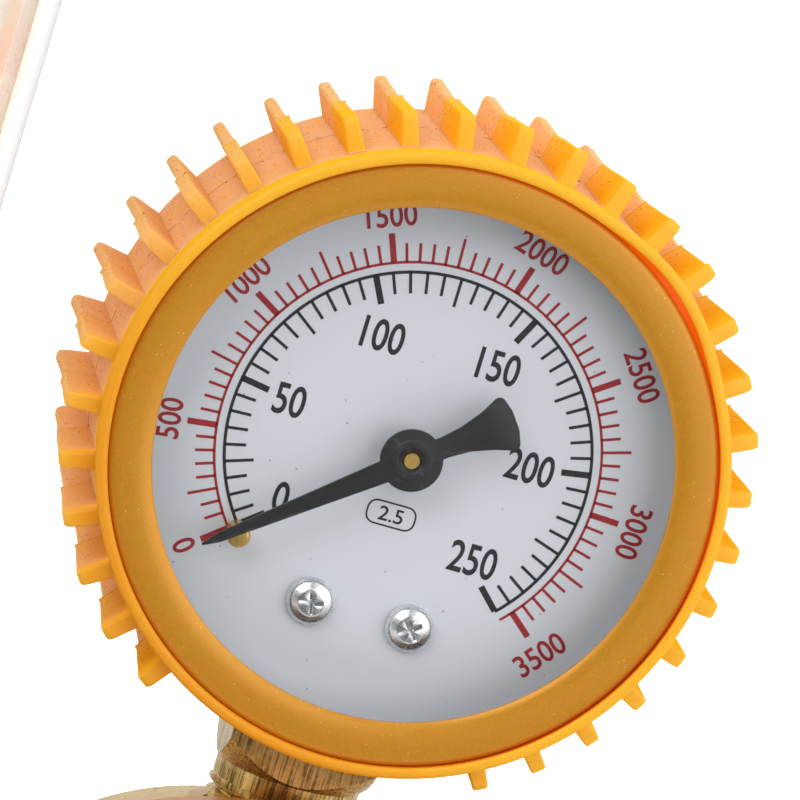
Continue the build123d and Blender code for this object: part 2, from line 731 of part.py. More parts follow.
def flow_base():
    """Base block with the seats of the tubes, the needle valve and the passages."""
    base = turned([(0, base_bottom), (base_radius, base_bottom), (base_radius, base_top),
                   (cover_radius + 0.1, base_top), (cover_radius + 0.1, 8.0), (6.9, 8.0), (6.9, 5.0),
                   (flow_tube_radius + 0.05, 5.0), (flow_tube_radius + 0.05, flow_tube_bottom),
                   (0, flow_tube_bottom)], [(1, 1.0), (2, 0.8)])
    base -= bar_x(6.55, base_radius - 7.2, base_radius + 1)
    base -= bar_x(2.0, -1.0, base_radius)
    base -= rod(2.0, 0, flow_tube_bottom + 1)
    start, end = Vector(0, -9.8, 8.6), Vector(0, -5.2, valve_z + 1)
    slant = Plane(origin=start, z_dir=end - start) * Cylinder(1.1, (end - start).length, align=(
        Align.CENTER, Align.CENTER, Align.MIN))
    base -= slant
    valve = rod(1.2, 0, 4) + rod(3.0, 3.0, 8.0) + rod(5.0, 7.5, base_radius + 1)
    base -= Pos(0, 0, valve_z) * Rot(90, 0, 0) * valve
    base -= rod(1.8, base_bottom - 1, valve_z)
    return base - rod(6.05, base_bottom - 1, base_bottom + 5.2)


def cover_seals():
    """Square-section rings under and over the clear cover."""
    low = ring(cover_radius - 0.1, cover_radius - cover_wall + 0.1, 8.0, cover_bottom)
    high = ring(cover_radius - 0.1, cover_radius - cover_wall + 0.1, cover_top, cover_top + 1.2)
    return [low, high]


def tube_cover():
    """Clear outer cover."""
    return ring(cover_radius, cover_radius - cover_wall, cover_bottom, cover_top)


def tube_seal():
    """Ring around the foot of the flow tube."""
    return ring(6.85, flow_tube_radius + 0.02, 5.0, 7.6)


def flow_tube():
    """Clear flow tube with a tapered bore."""
    return turned([(taper_low_radius, flow_tube_bottom), (flow_tube_radius, flow_tube_bottom),
                   (flow_tube_radius, flow_tube_top), (taper_high_radius, flow_tube_top)])


def lower_stop():
    """Peg at the foot of the bore on which the ball rests, with a cross-shaped foot for the gas to pass."""
    top = ball_rest - ball_radius - 0.02
    peg = rod(0.9, flow_tube_bottom, top)
    foot = slab(-2.5, 2.5, -0.5, 0.5, flow_tube_bottom, 6.0) + slab(-0.5, 0.5, -2.5, 2.5, flow_tube_bottom, 6.0)
    return peg + (foot & rod(taper_low_radius - 0.02, flow_tube_bottom, 6.0))


def flow_ball():
    """Float ball."""
    return Pos(0, 0, ball_rest) * Sphere(ball_radius)


def upper_stop():
    """Peg at the top of the bore that stops the ball."""
    low = ball_rest + ball_travel + ball_radius + 0.3
    peg = rod(0.9, low, flow_tube_top)
    low = flow_tube_top - 5.0
    wide = taper_high_radius
    head = slab(-wide, wide, -0.5, 0.5, low, flow_tube_top) + slab(-0.5, 0.5, -wide, wide, low, flow_tube_top)
    return peg + (head & rod(taper_high_radius - 0.06, low, flow_tube_top))


def top_spacer():
    """Spacer between the flow tube and the cap, slotted for the gas."""
    spacer = turned([(2.2, flow_tube_top), (flow_tube_radius + 0.05, flow_tube_top),
                     (flow_tube_radius + 0.05, flow_tube_top - 5.0), (flow_tube_radius + 2, flow_tube_top - 5.0),
                     (spacer_radius, flow_tube_top), (spacer_radius, spacer_top), (2.2, spacer_top)])
    wide = spacer_radius + 1
    low = spacer_top - 2.6
    return spacer - slab(-wide, wide, -1.5, 1.5, low, cap_top) - slab(-1.5, 1.5, -wide, wide, low, cap_top)


def top_cap():
    """Cap screwed on the cover's top."""
    inside = spacer_radius + 0.1
    cap = turned([(0, cap_top), (base_radius - 1.5, cap_top), (base_radius, cap_top - 1.5),
                  (base_radius, cap_bottom), (cover_radius + 0.05, cap_bottom),
                  (cover_radius + 0.05, cover_top + 1.2), (inside, cover_top + 1.2), (inside, spacer_top),
                  (0, spacer_top)], [(3, 0.6)])
    for index in range(6):
        cap -= Rot(0, 0, 60 * index) * rod(2.0, cap_bottom + 2, cap_top + 1, base_radius + 1.2, 0)
    return cap


# Needle valve, its axis pointing to the front

def valve_needle():
    """Needle with two ears that slide in the gland and keep it from turning."""
    needle = turned([(0, 1.0), (0.5, 1.0), (1.12, 3.02), (2.0, 3.6), (2.0, 9.0), (1.5, 9.0), (1.5, 13.5), (0, 13.5)])
    return needle + (slab(-4.1, 4.1, -0.5, 0.5, 7.7, 8.7) & rod(4.1, 7, 9))


def gland_nut():
    """Gland that carries the spindle, slotted inside for the needle's ears."""
    gland = turned([(3.6, 7.6), (4.95, 7.6), (4.95, base_radius), (7.8, base_radius), (7.8, gland_face),
                    (2.55, gland_face), (2.55, 14.0), (3.6, 14.0)])
    gland = gland & (rod(4.96, 7.0, base_radius) + hexagon(14.0, base_radius, gland_face))
    return gland - slab(-4.2, 4.2, -0.58, 0.58, 7.0, 10.4)


def valve_spindle():
    """Spindle held by the gland, with an inner thread that draws the needle."""
    spindle = turned([(1.55, 10.5), (3.5, 10.5), (3.5, 13.9), (2.5, 13.9), (2.5, 16.0), (1.8, 16.0), (1.8, 17.4),
                      (2.5, 17.4), (2.5, knob_front - 7), (0, knob_front - 7), (0, 15.6), (1.55, 15.6)])
    spindle -= slab(-3, 3, 1.9, 3, knob_back, knob_front)
    return spindle - rod(0.9, knob_front - 12, knob_front)


def spindle_ring():
    """Sealing ring in the spindle's groove."""
    return ring(2.5, 1.8, 16.1, 17.3)


def valve_knob():
    """Fluted control knob."""
    knob = turned([(0, knob_back), (10.5, knob_back), (knob_radius, knob_back + 2), (knob_radius, knob_front - 1),
                   (knob_radius - 1.5, knob_front), (5.5, knob_front), (5.5, knob_front - 1.5),
                   (0, knob_front - 1.5)])
    knob += ring(5.2, 2.0, gland_face + 0.1, knob_back)
    for index in range(12):
        knob -= Rot(0, 0, 30 * index) * rod(2.6, knob_back + 1.5, knob_front + 1, knob_radius + 1.3, 0)
    shaft = rod(2.52, gland_face - 1, knob_front - 6.8) - slab(-3, 3, 1.95, 3, knob_back, knob_front)
    knob -= shaft
    knob -= rod(1.05, knob_front - 8, knob_front)
    return knob - rod(3.0, knob_front - 4, knob_front + 1)


def knob_screw():
    """Screw that holds the knob on the spindle."""
    seat = knob_front - 4
    screw = rod(2.6, seat, seat + 1.6) + rod(0.88, seat - 7, seat)
    return screw - slab(-2.8, 2.8, -0.3, 0.3, seat + 1, seat + 2)


# Outlet

def outlet_adapter():
    """Outlet fitting under the base, with the outer thread for the hose nut."""
    adapter = rod(6.0, base_bottom, base_bottom + 5.0) + hexagon(22.0, base_bottom - 6.0, base_bottom)
    adapter += turned([(0, base_bottom - 6.0), (6.9, base_bottom - 6.0), (6.9, base_bottom - 7.6),
                       (outlet_thread_radius, base_bottom - 8.4), (outlet_thread_radius, adapter_end + 0.8),
                       (outlet_thread_radius - 0.8, adapter_end), (0, adapter_end)])
    adapter -= rod(1.8, adapter_end - 1, -14)
    return adapter - turned([(0, adapter_end - 0.1), (4.6, adapter_end - 0.1), (1.8, adapter_end + 2.7),
                             (0, adapter_end + 2.7)])


def outlet_barb():
    """Hose nipple seated in the fitting and held by the nut."""
    collar = adapter_end - 3.6
    points = [(1.6, adapter_end + 1.6), (2.7, adapter_end + 1.6), (4.2, adapter_end - 0.02),
              (6.4, adapter_end - 0.02), (6.4, collar), (4.3, collar)]
    top = barb_end + 18.5
    points.append((4.3, top))
    for index in range(5):
        points.append((4.6, top - 0.01 - 3.5 * index))
        points.append((3.7, top - 3.4 - 3.5 * index))
    points.append((3.5, barb_end))
    points.append((1.6, barb_end))
    return turned(points)


def outlet_nut():
    """Swivel nut that holds the hose nipple on the fitting."""
    low, high = outlet_nut_bottom, base_bottom - 9.5
    nut = hexagon(19.0, low, high)
    nut = nut & turned([(0, low), (9.6, low), (11.1, low + 1.0), (11.1, high - 0.8), (10.0, high), (0, high)])
    nut -= rod(outlet_thread_radius + 0.08, adapter_end - 3.9, high + 1)
    return nut - rod(4.75, low - 1, -30)


# Seals of the whole unit, kept together as one node

def seal_rings():
    """Washers and rings under the stem, the rear plug, the clear cover, the flow tube and the spindle."""
    stem = body_place * ring(6.6, 2.2, stem_end - 1.2, stem_end)
    tubes = [flow_place * seal for seal in cover_seals()]
    return Compound([stem, front_place * rear_seal(), *tubes, flow_place * tube_seal(),
                     valve_place * spindle_ring()])


# Placing and writing

nodes = {
    "gauge_boot": (gauge_place, gauge_boot),
    "gauge_case": (gauge_place, gauge_case),
    "gauge_bezel": (gauge_place, gauge_bezel),
    "gauge_lens": (gauge_place, lambda: rod(lens_radius, lens_back, lens_front)),
    "lens_gasket": (gauge_place, lambda: ring(lens_radius, lens_radius - 1.4, case_front, lens_back)),
    "gauge_dial": (gauge_place, gauge_dial),
    "dial_screws": (gauge_place, dial_screws),
    "pointer_stop": (gauge_place, pointer_stop),
    "pointer": (gauge_place, pointer),
    "pointer_arbor": (gauge_place, pointer_arbor),
    "hairspring": (gauge_place, hairspring),
    "sector_gear": (gauge_place, sector_gear),
    "link": (gauge_place, link),
    "bourdon_tip": (gauge_place, bourdon_tip),
    "bourdon_tube": (gauge_place, lambda: tube_sweep(True)),
    "movement_back_plate": (gauge_place, movement_back_plate),
    "movement_front_plate": (gauge_place, movement_front_plate),
    "movement_screws": (gauge_place, movement_screws),
    "gauge_socket": (body_place, gauge_socket),
    "case_screws": (gauge_place, case_screws),
    "blowout_plug": (gauge_place, blowout_plug),
    "gauge_restrictor": (body_place, lambda: ring(1.95, 0.3, stem_end, stem_end + 2.95)),
    "seal_rings": (Pos(0, 0, 0), seal_rings),
    "regulator_body": (body_place, regulator_body),
    "bonnet": (front_place, bonnet),
    "diaphragm": (front_place, diaphragm),
    "slip_ring": (front_place, lambda: ring(
        spigot_radius - 0.2, chamber_radius, spigot_front + diaphragm_thickness,
        spigot_front + diaphragm_thickness + 1.08)),
    "diaphragm_plate": (front_place, diaphragm_plate),
    "range_spring": (front_place, range_spring),
    "spring_button": (front_place, spring_button),
    "preset_screw": (front_place, preset_screw),
    "preset_cap": (front_place, preset_cap),
    "seat_nozzle": (front_place, seat_nozzle),
    "valve_poppet": (front_place, valve_poppet),
    "poppet_seat": (front_place, poppet_seat),
    "poppet_spring": (front_place, poppet_spring),
    "rear_plug": (front_place, rear_plug),
    "relief_body": (body_place, relief_body),
    "relief_poppet": (body_place, relief_poppet),
    "relief_spring": (body_place, relief_spring),
    "relief_cap": (body_place, relief_cap),
    "inlet_nipple": (inlet_place, inlet_nipple),
    "inlet_nut": (inlet_place, inlet_nut),
    "inlet_filter": (inlet_place, inlet_filter),
    "outlet_arm": (body_place, outlet_arm),
    "flow_base": (flow_place, flow_base),
    "tube_cover": (flow_place, tube_cover),
    "flow_tube": (flow_place, flow_tube),
    "flow_ball": (flow_place, flow_ball),
    "float_stops": (flow_place, lambda: Compound([lower_stop(), upper_stop()])),
    "top_spacer": (flow_place, top_spacer),
    "top_cap": (flow_place, top_cap),
    "valve_needle": (valve_place, valve_needle),
    "gland_nut": (valve_place, gland_nut),
    "valve_spindle": (valve_place, valve_spindle),
    "valve_knob": (valve_place, valve_knob),
    "knob_screw": (valve_place, knob_screw),
    "outlet_adapter": (flow_place, outlet_adapter),
    "outlet_barb": (flow_place, outlet_barb),
    "outlet_nut": (flow_place, outlet_nut),
}

for name, (place, build) in nodes.items():
    export_step(place * build(), "parts/" + name + ".step")
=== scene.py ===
"""Argon flowmeter regulator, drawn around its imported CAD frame.

Lengths inside the helpers are in millimetres in the frame of the sub-assembly being drawn, and every finished
piece is moved to its place in the shared frame in metres.
"""

import json
import math

import bmesh
import bpy
from mathutils import Matrix, Vector


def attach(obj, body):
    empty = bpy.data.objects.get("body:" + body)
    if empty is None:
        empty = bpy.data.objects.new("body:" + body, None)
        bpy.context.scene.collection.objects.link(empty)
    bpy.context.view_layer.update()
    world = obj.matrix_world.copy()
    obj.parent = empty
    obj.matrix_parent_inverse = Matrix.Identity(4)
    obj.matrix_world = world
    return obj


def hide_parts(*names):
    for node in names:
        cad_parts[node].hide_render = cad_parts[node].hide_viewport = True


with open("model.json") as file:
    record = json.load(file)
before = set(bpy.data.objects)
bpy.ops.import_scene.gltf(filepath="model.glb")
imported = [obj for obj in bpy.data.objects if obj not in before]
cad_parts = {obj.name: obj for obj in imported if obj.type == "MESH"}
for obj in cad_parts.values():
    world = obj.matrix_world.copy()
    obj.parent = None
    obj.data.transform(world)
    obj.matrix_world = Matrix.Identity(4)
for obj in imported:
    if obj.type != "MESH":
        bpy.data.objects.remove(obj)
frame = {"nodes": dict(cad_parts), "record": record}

bl_info = {
    "name": "Argon flowmeter regulator",
    "version": (1, 0, 0),
    "blender": (4, 5, 0),
    "location": "3D View > Sidebar > Regulator",
    "description": "Builds the booted gauge, the brass regulator and its clear flow tube",
    "category": "Object",
}

MM = 0.001
MATERIALS = {}
GROUPS = {}

# Millimetres between the parts. The inlet's mount is the origin of the shared frame.
INLET_REACH = 70.0
DIAL_Y = -13.9
GAUGE_Z = 66.0
FLOW_X = -55.2
VALVE_Z = -8.0


# Places of the sub-assemblies

def place(x=0.0, y=0.0, z=0.0, turn_x=0.0, turn_y=0.0):
    """Matrix from a sub-assembly's millimetres to the shared frame in metres."""
    shift = Matrix.Translation(Vector((x - INLET_REACH, y, z)) * MM)
    turn = Matrix.Rotation(math.radians(turn_x), 4, "X") @ Matrix.Rotation(math.radians(turn_y), 4, "Y")
    return shift @ turn @ Matrix.Scale(MM, 4)


GAUGE = place(0.0, DIAL_Y, GAUGE_Z, turn_x=90)
FRONT = place(turn_x=90)
BODY = place()
INLET = place(turn_y=90)
FLOW = place(FLOW_X)
VALVE = place(FLOW_X, 0.0, VALVE_Z, turn_x=90)


# Mesh helpers

def turned(angle, axis="Z"):
    """Turn by an angle in degrees about an axis."""
    return Matrix.Rotation(math.radians(angle), 4, axis)


def around(radius, angle):
    """Point (x, y) at a radius and an angle in degrees."""
    return radius * math.cos(math.radians(angle)), radius * math.sin(math.radians(angle))


def clear():
    """Leaves object mode with nothing selected."""
    if bpy.context.object and bpy.context.object.mode != "OBJECT":
        bpy.ops.object.mode_set(mode="OBJECT")
    bpy.ops.object.select_all(action="DESELECT")


def activate(obj):
    """Selects one object alone and makes it active."""
    clear()
    obj.select_set(True)
    bpy.context.view_layer.objects.active = obj


def delete(obj):
    """Deletes an object."""
    activate(obj)
    bpy.ops.object.delete()


def added(name):
    """Names the object that was just added and applies its transform."""
    obj = bpy.context.object
    obj.name = name
    bpy.ops.object.transform_apply(location=True, rotation=True, scale=True)
    return obj


def moved(obj, matrix):
    """Applies a matrix to a piece's mesh."""
    activate(obj)
    obj.matrix_world = matrix @ obj.matrix_world
    bpy.ops.object.transform_apply(location=True, rotation=True, scale=True)
    return obj


def pick(obj, test):
    """Selects the vertices of an edited mesh whose places pass a test, and counts them."""
    mesh = bmesh.from_edit_mesh(obj.data)
    for elements in (mesh.verts, mesh.edges, mesh.faces):
        for element in elements:
            element.select = False
    chosen = [vert for vert in mesh.verts if test(vert.co)]
    for vert in chosen:
        vert.select = True
    mesh.select_flush_mode()
    bmesh.update_edit_mesh(obj.data)
    return len(chosen)


def rounded(points, rounds):
    """Profile points with some corners replaced by arcs, given as {index: radius}."""
    steps = 5
    out = []
    for index, point in enumerate(points):
        radius = rounds.get(index, 0.0)
        if radius <= 0:
            out.append(point)
            continue
        here = Vector(point)
        before = Vector(points[index - 1]) - here
        after = Vector(points[(index + 1) % len(points)]) - here
        half = before.angle(after) / 2
        reach = min(radius / math.tan(half), before.length * 0.48, after.length * 0.48)
        radius = reach * math.tan(half)
        middle = here + (before.normalized() + after.normalized()).normalized() * radius / math.sin(half)
        start = here + before.normalized() * reach - middle
        end = here + after.normalized() * reach - middle
        for step in range(steps + 1):
            ray = start.normalized().slerp(end.normalized(), step / steps)
            out.append(tuple(middle + ray * radius))
    return out


def outline_object(name, points, closed=True):
    """Chain of edges through (x, z) points, extruded one vertex at a time, left in edit mode."""
    clear()
    bpy.ops.mesh.primitive_plane_add(size=1)
    obj = bpy.context.object
    obj.name = name
    obj.data.name = name
    bpy.ops.object.mode_set(mode="EDIT")
    bpy.ops.mesh.select_all(action="SELECT")
    bpy.ops.mesh.merge(type="CENTER")
    bpy.ops.transform.translate(value=(points[0][0], 0, points[0][1]))
    for before, after in zip(points, points[1:]):
        bpy.ops.mesh.extrude_region_move(
            TRANSFORM_OT_translate={"value": (after[0] - before[0], 0, after[1] - before[1])})
    if closed:
        ends = [Vector((x, 0, z)) for x, z in (points[0], points[-1])]
        pick(obj, lambda co: any((co - end).length < 1e-5 for end in ends))
        bpy.ops.mesh.edge_face_add()
    return obj


def fill():
    """Fills an edited outline with one face."""
    bpy.ops.mesh.select_all(action="SELECT")
    bpy.ops.mesh.edge_face_add()


def spin(steps, angle):
    """Spins an edited outline about Z and merges the points where it meets itself."""
    bpy.ops.mesh.select_all(action="SELECT")
    bpy.ops.mesh.spin(steps=steps, angle=math.radians(angle), center=(0, 0, 0), axis=(0, 0, 1))
    bpy.ops.mesh.select_all(action="SELECT")
    bpy.ops.mesh.remove_doubles(threshold=0.0005)


def leave():
    """Turns an edited mesh's faces outwards and goes back to object mode."""
    bpy.ops.mesh.select_all(action="SELECT")
    bpy.ops.mesh.normals_make_consistent(inside=False)
    bpy.ops.object.mode_set(mode="OBJECT")


def lathe(name, points, rounds=None, steps=96, angle=360.0):
    """Profile of (radius, height) points spun about Z, left open where both ends lie on the axis."""
    on_axis = points[0][0] == 0 and points[-1][0] == 0
    obj = outline_object(name, rounded(points, rounds or {}), closed=not on_axis)
    spin(steps, angle)
    leave()
    return obj


def prism(name, corners, low, high):
    """Flat outline of (x, y) corners filled and extruded upwards."""
    obj = outline_object(name, corners)
    fill()
    bpy.ops.object.mode_set(mode="OBJECT")
    moved(obj, Matrix.Translation((0, 0, low)) @ turned(-90, "X") @ Matrix.Scale(-1, 4, (0, 0, 1)))
    bpy.ops.object.mode_set(mode="EDIT")
    bpy.ops.mesh.select_all(action="SELECT")
    bpy.ops.mesh.extrude_region_move(TRANSFORM_OT_translate={"value": (0, 0, high - low)})
    leave()
    return obj


def soften(obj, width, segments=2, angle=35.0):
    """Bevels an object's sharp edges with an applied modifier."""
    modifier = obj.modifiers.new("Edges", "BEVEL")
    modifier.width = width
    modifier.segments = segments
    modifier.limit_method = "ANGLE"
    modifier.angle_limit = math.radians(angle)
    modifier.use_clamp_overlap = True
    apply_modifiers(obj)


def apply_modifiers(obj):
    """Applies every modifier of an object."""
    activate(obj)
    for modifier in list(obj.modifiers):
        bpy.ops.object.modifier_apply(modifier=modifier.name)


def cut(obj, tool, operation="DIFFERENCE"):
    """Boolean of two objects, after which the tool is deleted."""
    modifier = obj.modifiers.new("Cut", "BOOLEAN")
    modifier.operation = operation
    modifier.solver = "EXACT"
    modifier.object = tool
    apply_modifiers(obj)
    delete(tool)


def block(name, low, high, bevel=0.0):
    """Cube between two corners, with bevelled edges."""
    clear()
    bpy.ops.mesh.primitive_cube_add(size=1, location=[(a + b) / 2 for a, b in zip(low, high)])
    bpy.context.object.scale = [b - a for a, b in zip(low, high)]
    obj = added(name)
    if bevel:
        soften(obj, bevel)
    return obj


def drum(name, radius, low, high, x=0.0, y=0.0, sides=48):
    """Cylinder standing at a place, as a tool for cuts."""
    clear()
    bpy.ops.mesh.primitive_cylinder_add(vertices=sides, radius=radius, depth=high - low,
                                        location=(x, y, (low + high) / 2))
    return added(name)


def hexagon(name, across, low, high, bevel=0.3):
    """Hexagon prism whose corners are turned off at both ends, as on a nut."""
    clear()
    flat, corner = across / 2, across / math.sqrt(3)
    bpy.ops.mesh.primitive_cylinder_add(vertices=6, radius=corner, depth=high - low,
                                        location=(0, 0, (low + high) / 2), rotation=(0, 0, math.radians(30)))
    obj = added(name)
    chamfer = (corner - flat) * 0.6
    cut(obj, lathe(name + "_turning", [(0, low), (flat, low), (corner, low + chamfer),
                                       (corner, high - chamfer), (flat, high), (0, high)], steps=72),
        "INTERSECT")
    soften(obj, bevel)
    return obj


def bore(obj, radius, low, high, turn=None, x=0.0, y=0.0):
    """Drills a round hole."""
    tool = drum("bore", radius, low, high, x, y)
    cut(obj, moved(tool, turn) if turn else tool)


def fluted(obj, radius, depth, count, low, high):
    """Cuts fine straight flutes around a turned piece."""
    corners = []
    for index in range(count):
        for share, reach in ((0.0, radius), (0.35, radius), (0.55, radius - depth), (0.8, radius - depth)):
            corners.append(around(reach, 360 * (index + share) / count))
    cut(obj, prism("flutes", corners, low, high), "INTERSECT")


def join(objects):
    """Joins objects into the first one."""
    clear()
    for obj in objects:
        obj.select_set(True)
    bpy.context.view_layer.objects.active = objects[0]
    bpy.ops.object.join()
    return bpy.context.object


def copies(obj, angles):
    """Copies of a piece turned about Z, joined into one object."""
    made = []
    for angle in angles:
        activate(obj)
        bpy.ops.object.duplicate(linked=False)
        made.append(moved(bpy.context.object, turned(angle)))
    delete(obj)
    return join(made)


def finish(obj, name, matrix, body, material, replaced=(), smooth=35.0):
    """Moves a piece to its place, shades it, and tells the frame what it rides on and stands for."""
    moved(obj, matrix)
    bpy.ops.object.shade_smooth_by_angle(angle=math.radians(smooth))
    obj.name = name
    obj.data.name = name
    obj.data.materials.clear()
    obj.data.materials.append(material)
    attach(obj, body)
    if replaced:
        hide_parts(*replaced)
    return obj


def stand_in(obj, node, matrix, smooth=35.0):
    """Finishes a piece that takes the place of a CAD node, with that node's body and material slot."""
    record = frame["record"]
    slot = next(part["material_slot"] for part in record["subparts"] if part["node"] == node)
    body = next(name for name, nodes in record["behaviour"]["bodies"].items() if node in nodes)
    return finish(obj, node + "_piece", matrix, body, MATERIALS[slot], [node], smooth)


# Node helpers

class Net:
    """Short way to add nodes to a tree: values and sockets are given by input name."""

    def __init__(self, tree):
        self.tree = tree

    def add(self, kind, inputs=None, **settings):
        """Adds a node, sets its properties and links or sets its inputs."""
        node = self.tree.nodes.new(kind)
        for key, value in settings.items():
            setattr(node, key, value)
        for key, value in (inputs or {}).items():
            self.put(node, key, value)
        return node

    def put(self, node, key, value):
        """Links a socket or sets a constant."""
        socket = node.inputs[key]
        if isinstance(value, bpy.types.NodeSocket):
            self.tree.links.new(value, socket)
        elif isinstance(value, bpy.types.Node):
            self.tree.links.new(value.outputs[0], socket)
        else:
            socket.default_value = value

    def math(self, operation, first, second=0.0, clamp=False):
        """Math node's result."""
        node = self.add("ShaderNodeMath", operation=operation, use_clamp=clamp)
        self.put(node, 0, first)
        self.put(node, 1, second)
        return node.outputs[0]

    def times(self, first, *others):
        """Product of values."""
        for other in others:
            first = self.math("MULTIPLY", first, other)
        return first

    def band(self, value, low, high, start=0.0, end=1.0):
        """Smooth change from start to end as a value goes from low to high."""
        node = self.add("ShaderNodeMapRange", interpolation_type="SMOOTHSTEP", inputs={
            "Value": value, "From Min": low, "From Max": high, "To Min": start, "To Max": end})
        return node.outputs["Result"]

    def blend(self, factor, first, second):
        """Mixed colour."""
        node = self.add("ShaderNodeMix", data_type="RGBA")
        self.put(node, 0, factor)
        self.put(node, 6, first)
        self.put(node, 7, second)
        return node.outputs[2]


def new_group(name, inputs, outputs):
    """Node group with named sockets: its net, and its input and output nodes."""
    tree = bpy.data.node_groups.new(name, "ShaderNodeTree")
    for label, kind, value in inputs:
        socket = tree.interface.new_socket(label, in_out="INPUT", socket_type=kind)
        socket.default_value = value
    for label, kind in outputs:
        tree.interface.new_socket(label, in_out="OUTPUT", socket_type=kind)
    net = Net(tree)
    return net, net.add("NodeGroupInput"), net.add("NodeGroupOutput")


FLOAT = "NodeSocketFloat"
VECTOR = "NodeSocketVector"


def group_place():
    """Object coordinates in millimetres from a centre."""
    net, given, result = new_group("Place in millimetres", [("Centre", VECTOR, (0, 0, 0))],
                                   [("Vector", VECTOR), ("Radius about Y", FLOAT), ("Y", FLOAT)])
    coords = net.add("ShaderNodeTexCoord").outputs["Object"]
    scaled = net.add("ShaderNodeVectorMath", {0: coords, "Scale": 1 / MM}, operation="SCALE")
    offset = net.add("ShaderNodeVectorMath", {0: scaled, 1: given.outputs["Centre"]}, operation="SUBTRACT")
    parts = net.add("ShaderNodeSeparateXYZ", {0: offset})
    squares = [net.math("POWER", parts.outputs[axis], 2.0) for axis in (0, 2)]
    net.put(result, "Vector", offset)
    net.put(result, "Radius about Y", net.math("SQRT", net.math("ADD", *squares)))
    net.put(result, "Y", parts.outputs[1])
    return net.tree


def group_mottle():
    """Noise as a factor from 0 to 1."""
    net, given, result = new_group("Mottle", [("Vector", VECTOR, (0, 0, 0)), ("Scale", FLOAT, 1.0),
                                              ("Low", FLOAT, 0.35), ("High", FLOAT, 0.65)],
                                   [("Factor", FLOAT)])
    noise = net.add("ShaderNodeTexNoise", {"Vector": given.outputs["Vector"], "Scale": given.outputs["Scale"],
                                           "Detail": 5.0, "Roughness": 0.6})
    net.put(result, "Factor", net.band(noise.outputs["Fac"], given.outputs["Low"], given.outputs["High"]))
    return net.tree


def group_specks():
    """Small scattered specks as a factor from 0 to 1."""
    net, given, result = new_group("Specks", [("Vector", VECTOR, (0, 0, 0)), ("Scale", FLOAT, 2.0),
                                              ("Size", FLOAT, 0.16), ("Amount", FLOAT, 0.5)],
                                   [("Factor", FLOAT)])
    cells = net.add("ShaderNodeTexVoronoi", {"Vector": given.outputs["Vector"],
                                             "Scale": given.outputs["Scale"]})
    noise = net.add("ShaderNodeTexNoise", {"Vector": given.outputs["Vector"], "Scale": 0.9, "Detail": 3.0})
    size = net.times(given.outputs["Size"], net.band(noise.outputs["Fac"], 0.42, 0.62))
    dots = net.math("LESS_THAN", cells.outputs["Distance"], size)
    net.put(result, "Factor", net.times(dots, given.outputs["Amount"]))
    return net.tree


def group_wear():
    """Factor that is 1 on an object's outer edges and 0 on its faces."""
    net, given, result = new_group("Edge wear", [("Vector", VECTOR, (0, 0, 0)), ("Start", FLOAT, 0.53),
                                                 ("End", FLOAT, 0.6)], [("Factor", FLOAT)])
    point = net.add("ShaderNodeNewGeometry").outputs["Pointiness"]
    noise = net.add("ShaderNodeTexNoise", {"Vector": given.outputs["Vector"], "Scale": 1.7, "Detail": 4.0})
    edge = net.band(point, given.outputs["Start"], given.outputs["End"])
    net.put(result, "Factor", net.times(edge, net.band(noise.outputs["Fac"], 0.4, 0.6)))
    return net.tree


def group_lines():
    """Fine lines left by a cutter, running across one direction, as a factor."""
    net, given, result = new_group("Cutter lines", [("Vector", VECTOR, (0, 0, 0)),
                                                    ("Stretch", VECTOR, (9, 9, 0.5))], [("Factor", FLOAT)])
    stretched = net.add("ShaderNodeVectorMath", {0: given.outputs["Vector"], 1: given.outputs["Stretch"]},
                        operation="MULTIPLY")
    noise = net.add("ShaderNodeTexNoise", {"Vector": stretched, "Scale": 1.0, "Detail": 4.0,
                                           "Roughness": 0.65})
    net.put(result, "Factor", noise.outputs["Fac"])
    return net.tree


def use(net, name, inputs):
    """Adds one of the shared groups."""
    return net.add("ShaderNodeGroup", inputs, node_tree=GROUPS[name])


def mottle(net, vector, scale, low, high):
    """Noise as a factor, spread between two of its values."""
    return use(net, "mottle", {"Vector": vector, "Scale": scale, "Low": low, "High": high})


def specks(net, vector, scale, size, amount):
    """Scattered specks as a factor."""
    return use(net, "specks", {"Vector": vector, "Scale": scale, "Size": size, "Amount": amount})


def tinted(colour, red, green=None, blue=None, lift=0.0):
    """Colour whose channels are scaled, all by the first factor unless others are given, and then raised."""
    factors = (red, red if green is None else green, red if blue is None else blue)
    return tuple(min(1.0, value * factor + lift) for value, factor in zip(colour, factors)) + (1,)


def new_material(name):
    """Material with the net to add to it and its Principled shader."""
    material = bpy.data.materials.new(name)
    material.use_nodes = True
    return material, Net(material.node_tree), material.node_tree.nodes["Principled BSDF"]


def placed_material(name, centre=None):
    """New material, with each point's place in millimetres from a centre, the gauge's unless one is given."""
    if not GROUPS:
        GROUPS.update(place=group_place(), mottle=group_mottle(), specks=group_specks(), wear=group_wear(),
                      lines=group_lines())
    material, net, shader = new_material(name)
    spot = use(net, "place", {"Centre": centre or (-INLET_REACH, DIAL_Y, GAUGE_Z)})
    return material, net, shader, spot.outputs["Vector"]


def bump(net, shader, height, distance, strength=0.5):
    """Connects a height in millimetres to a shader's normal."""
    node = net.add("ShaderNodeBump", {"Height": height, "Distance": distance * MM, "Strength": strength})
    net.put(shader, "Normal", node)


# Materials

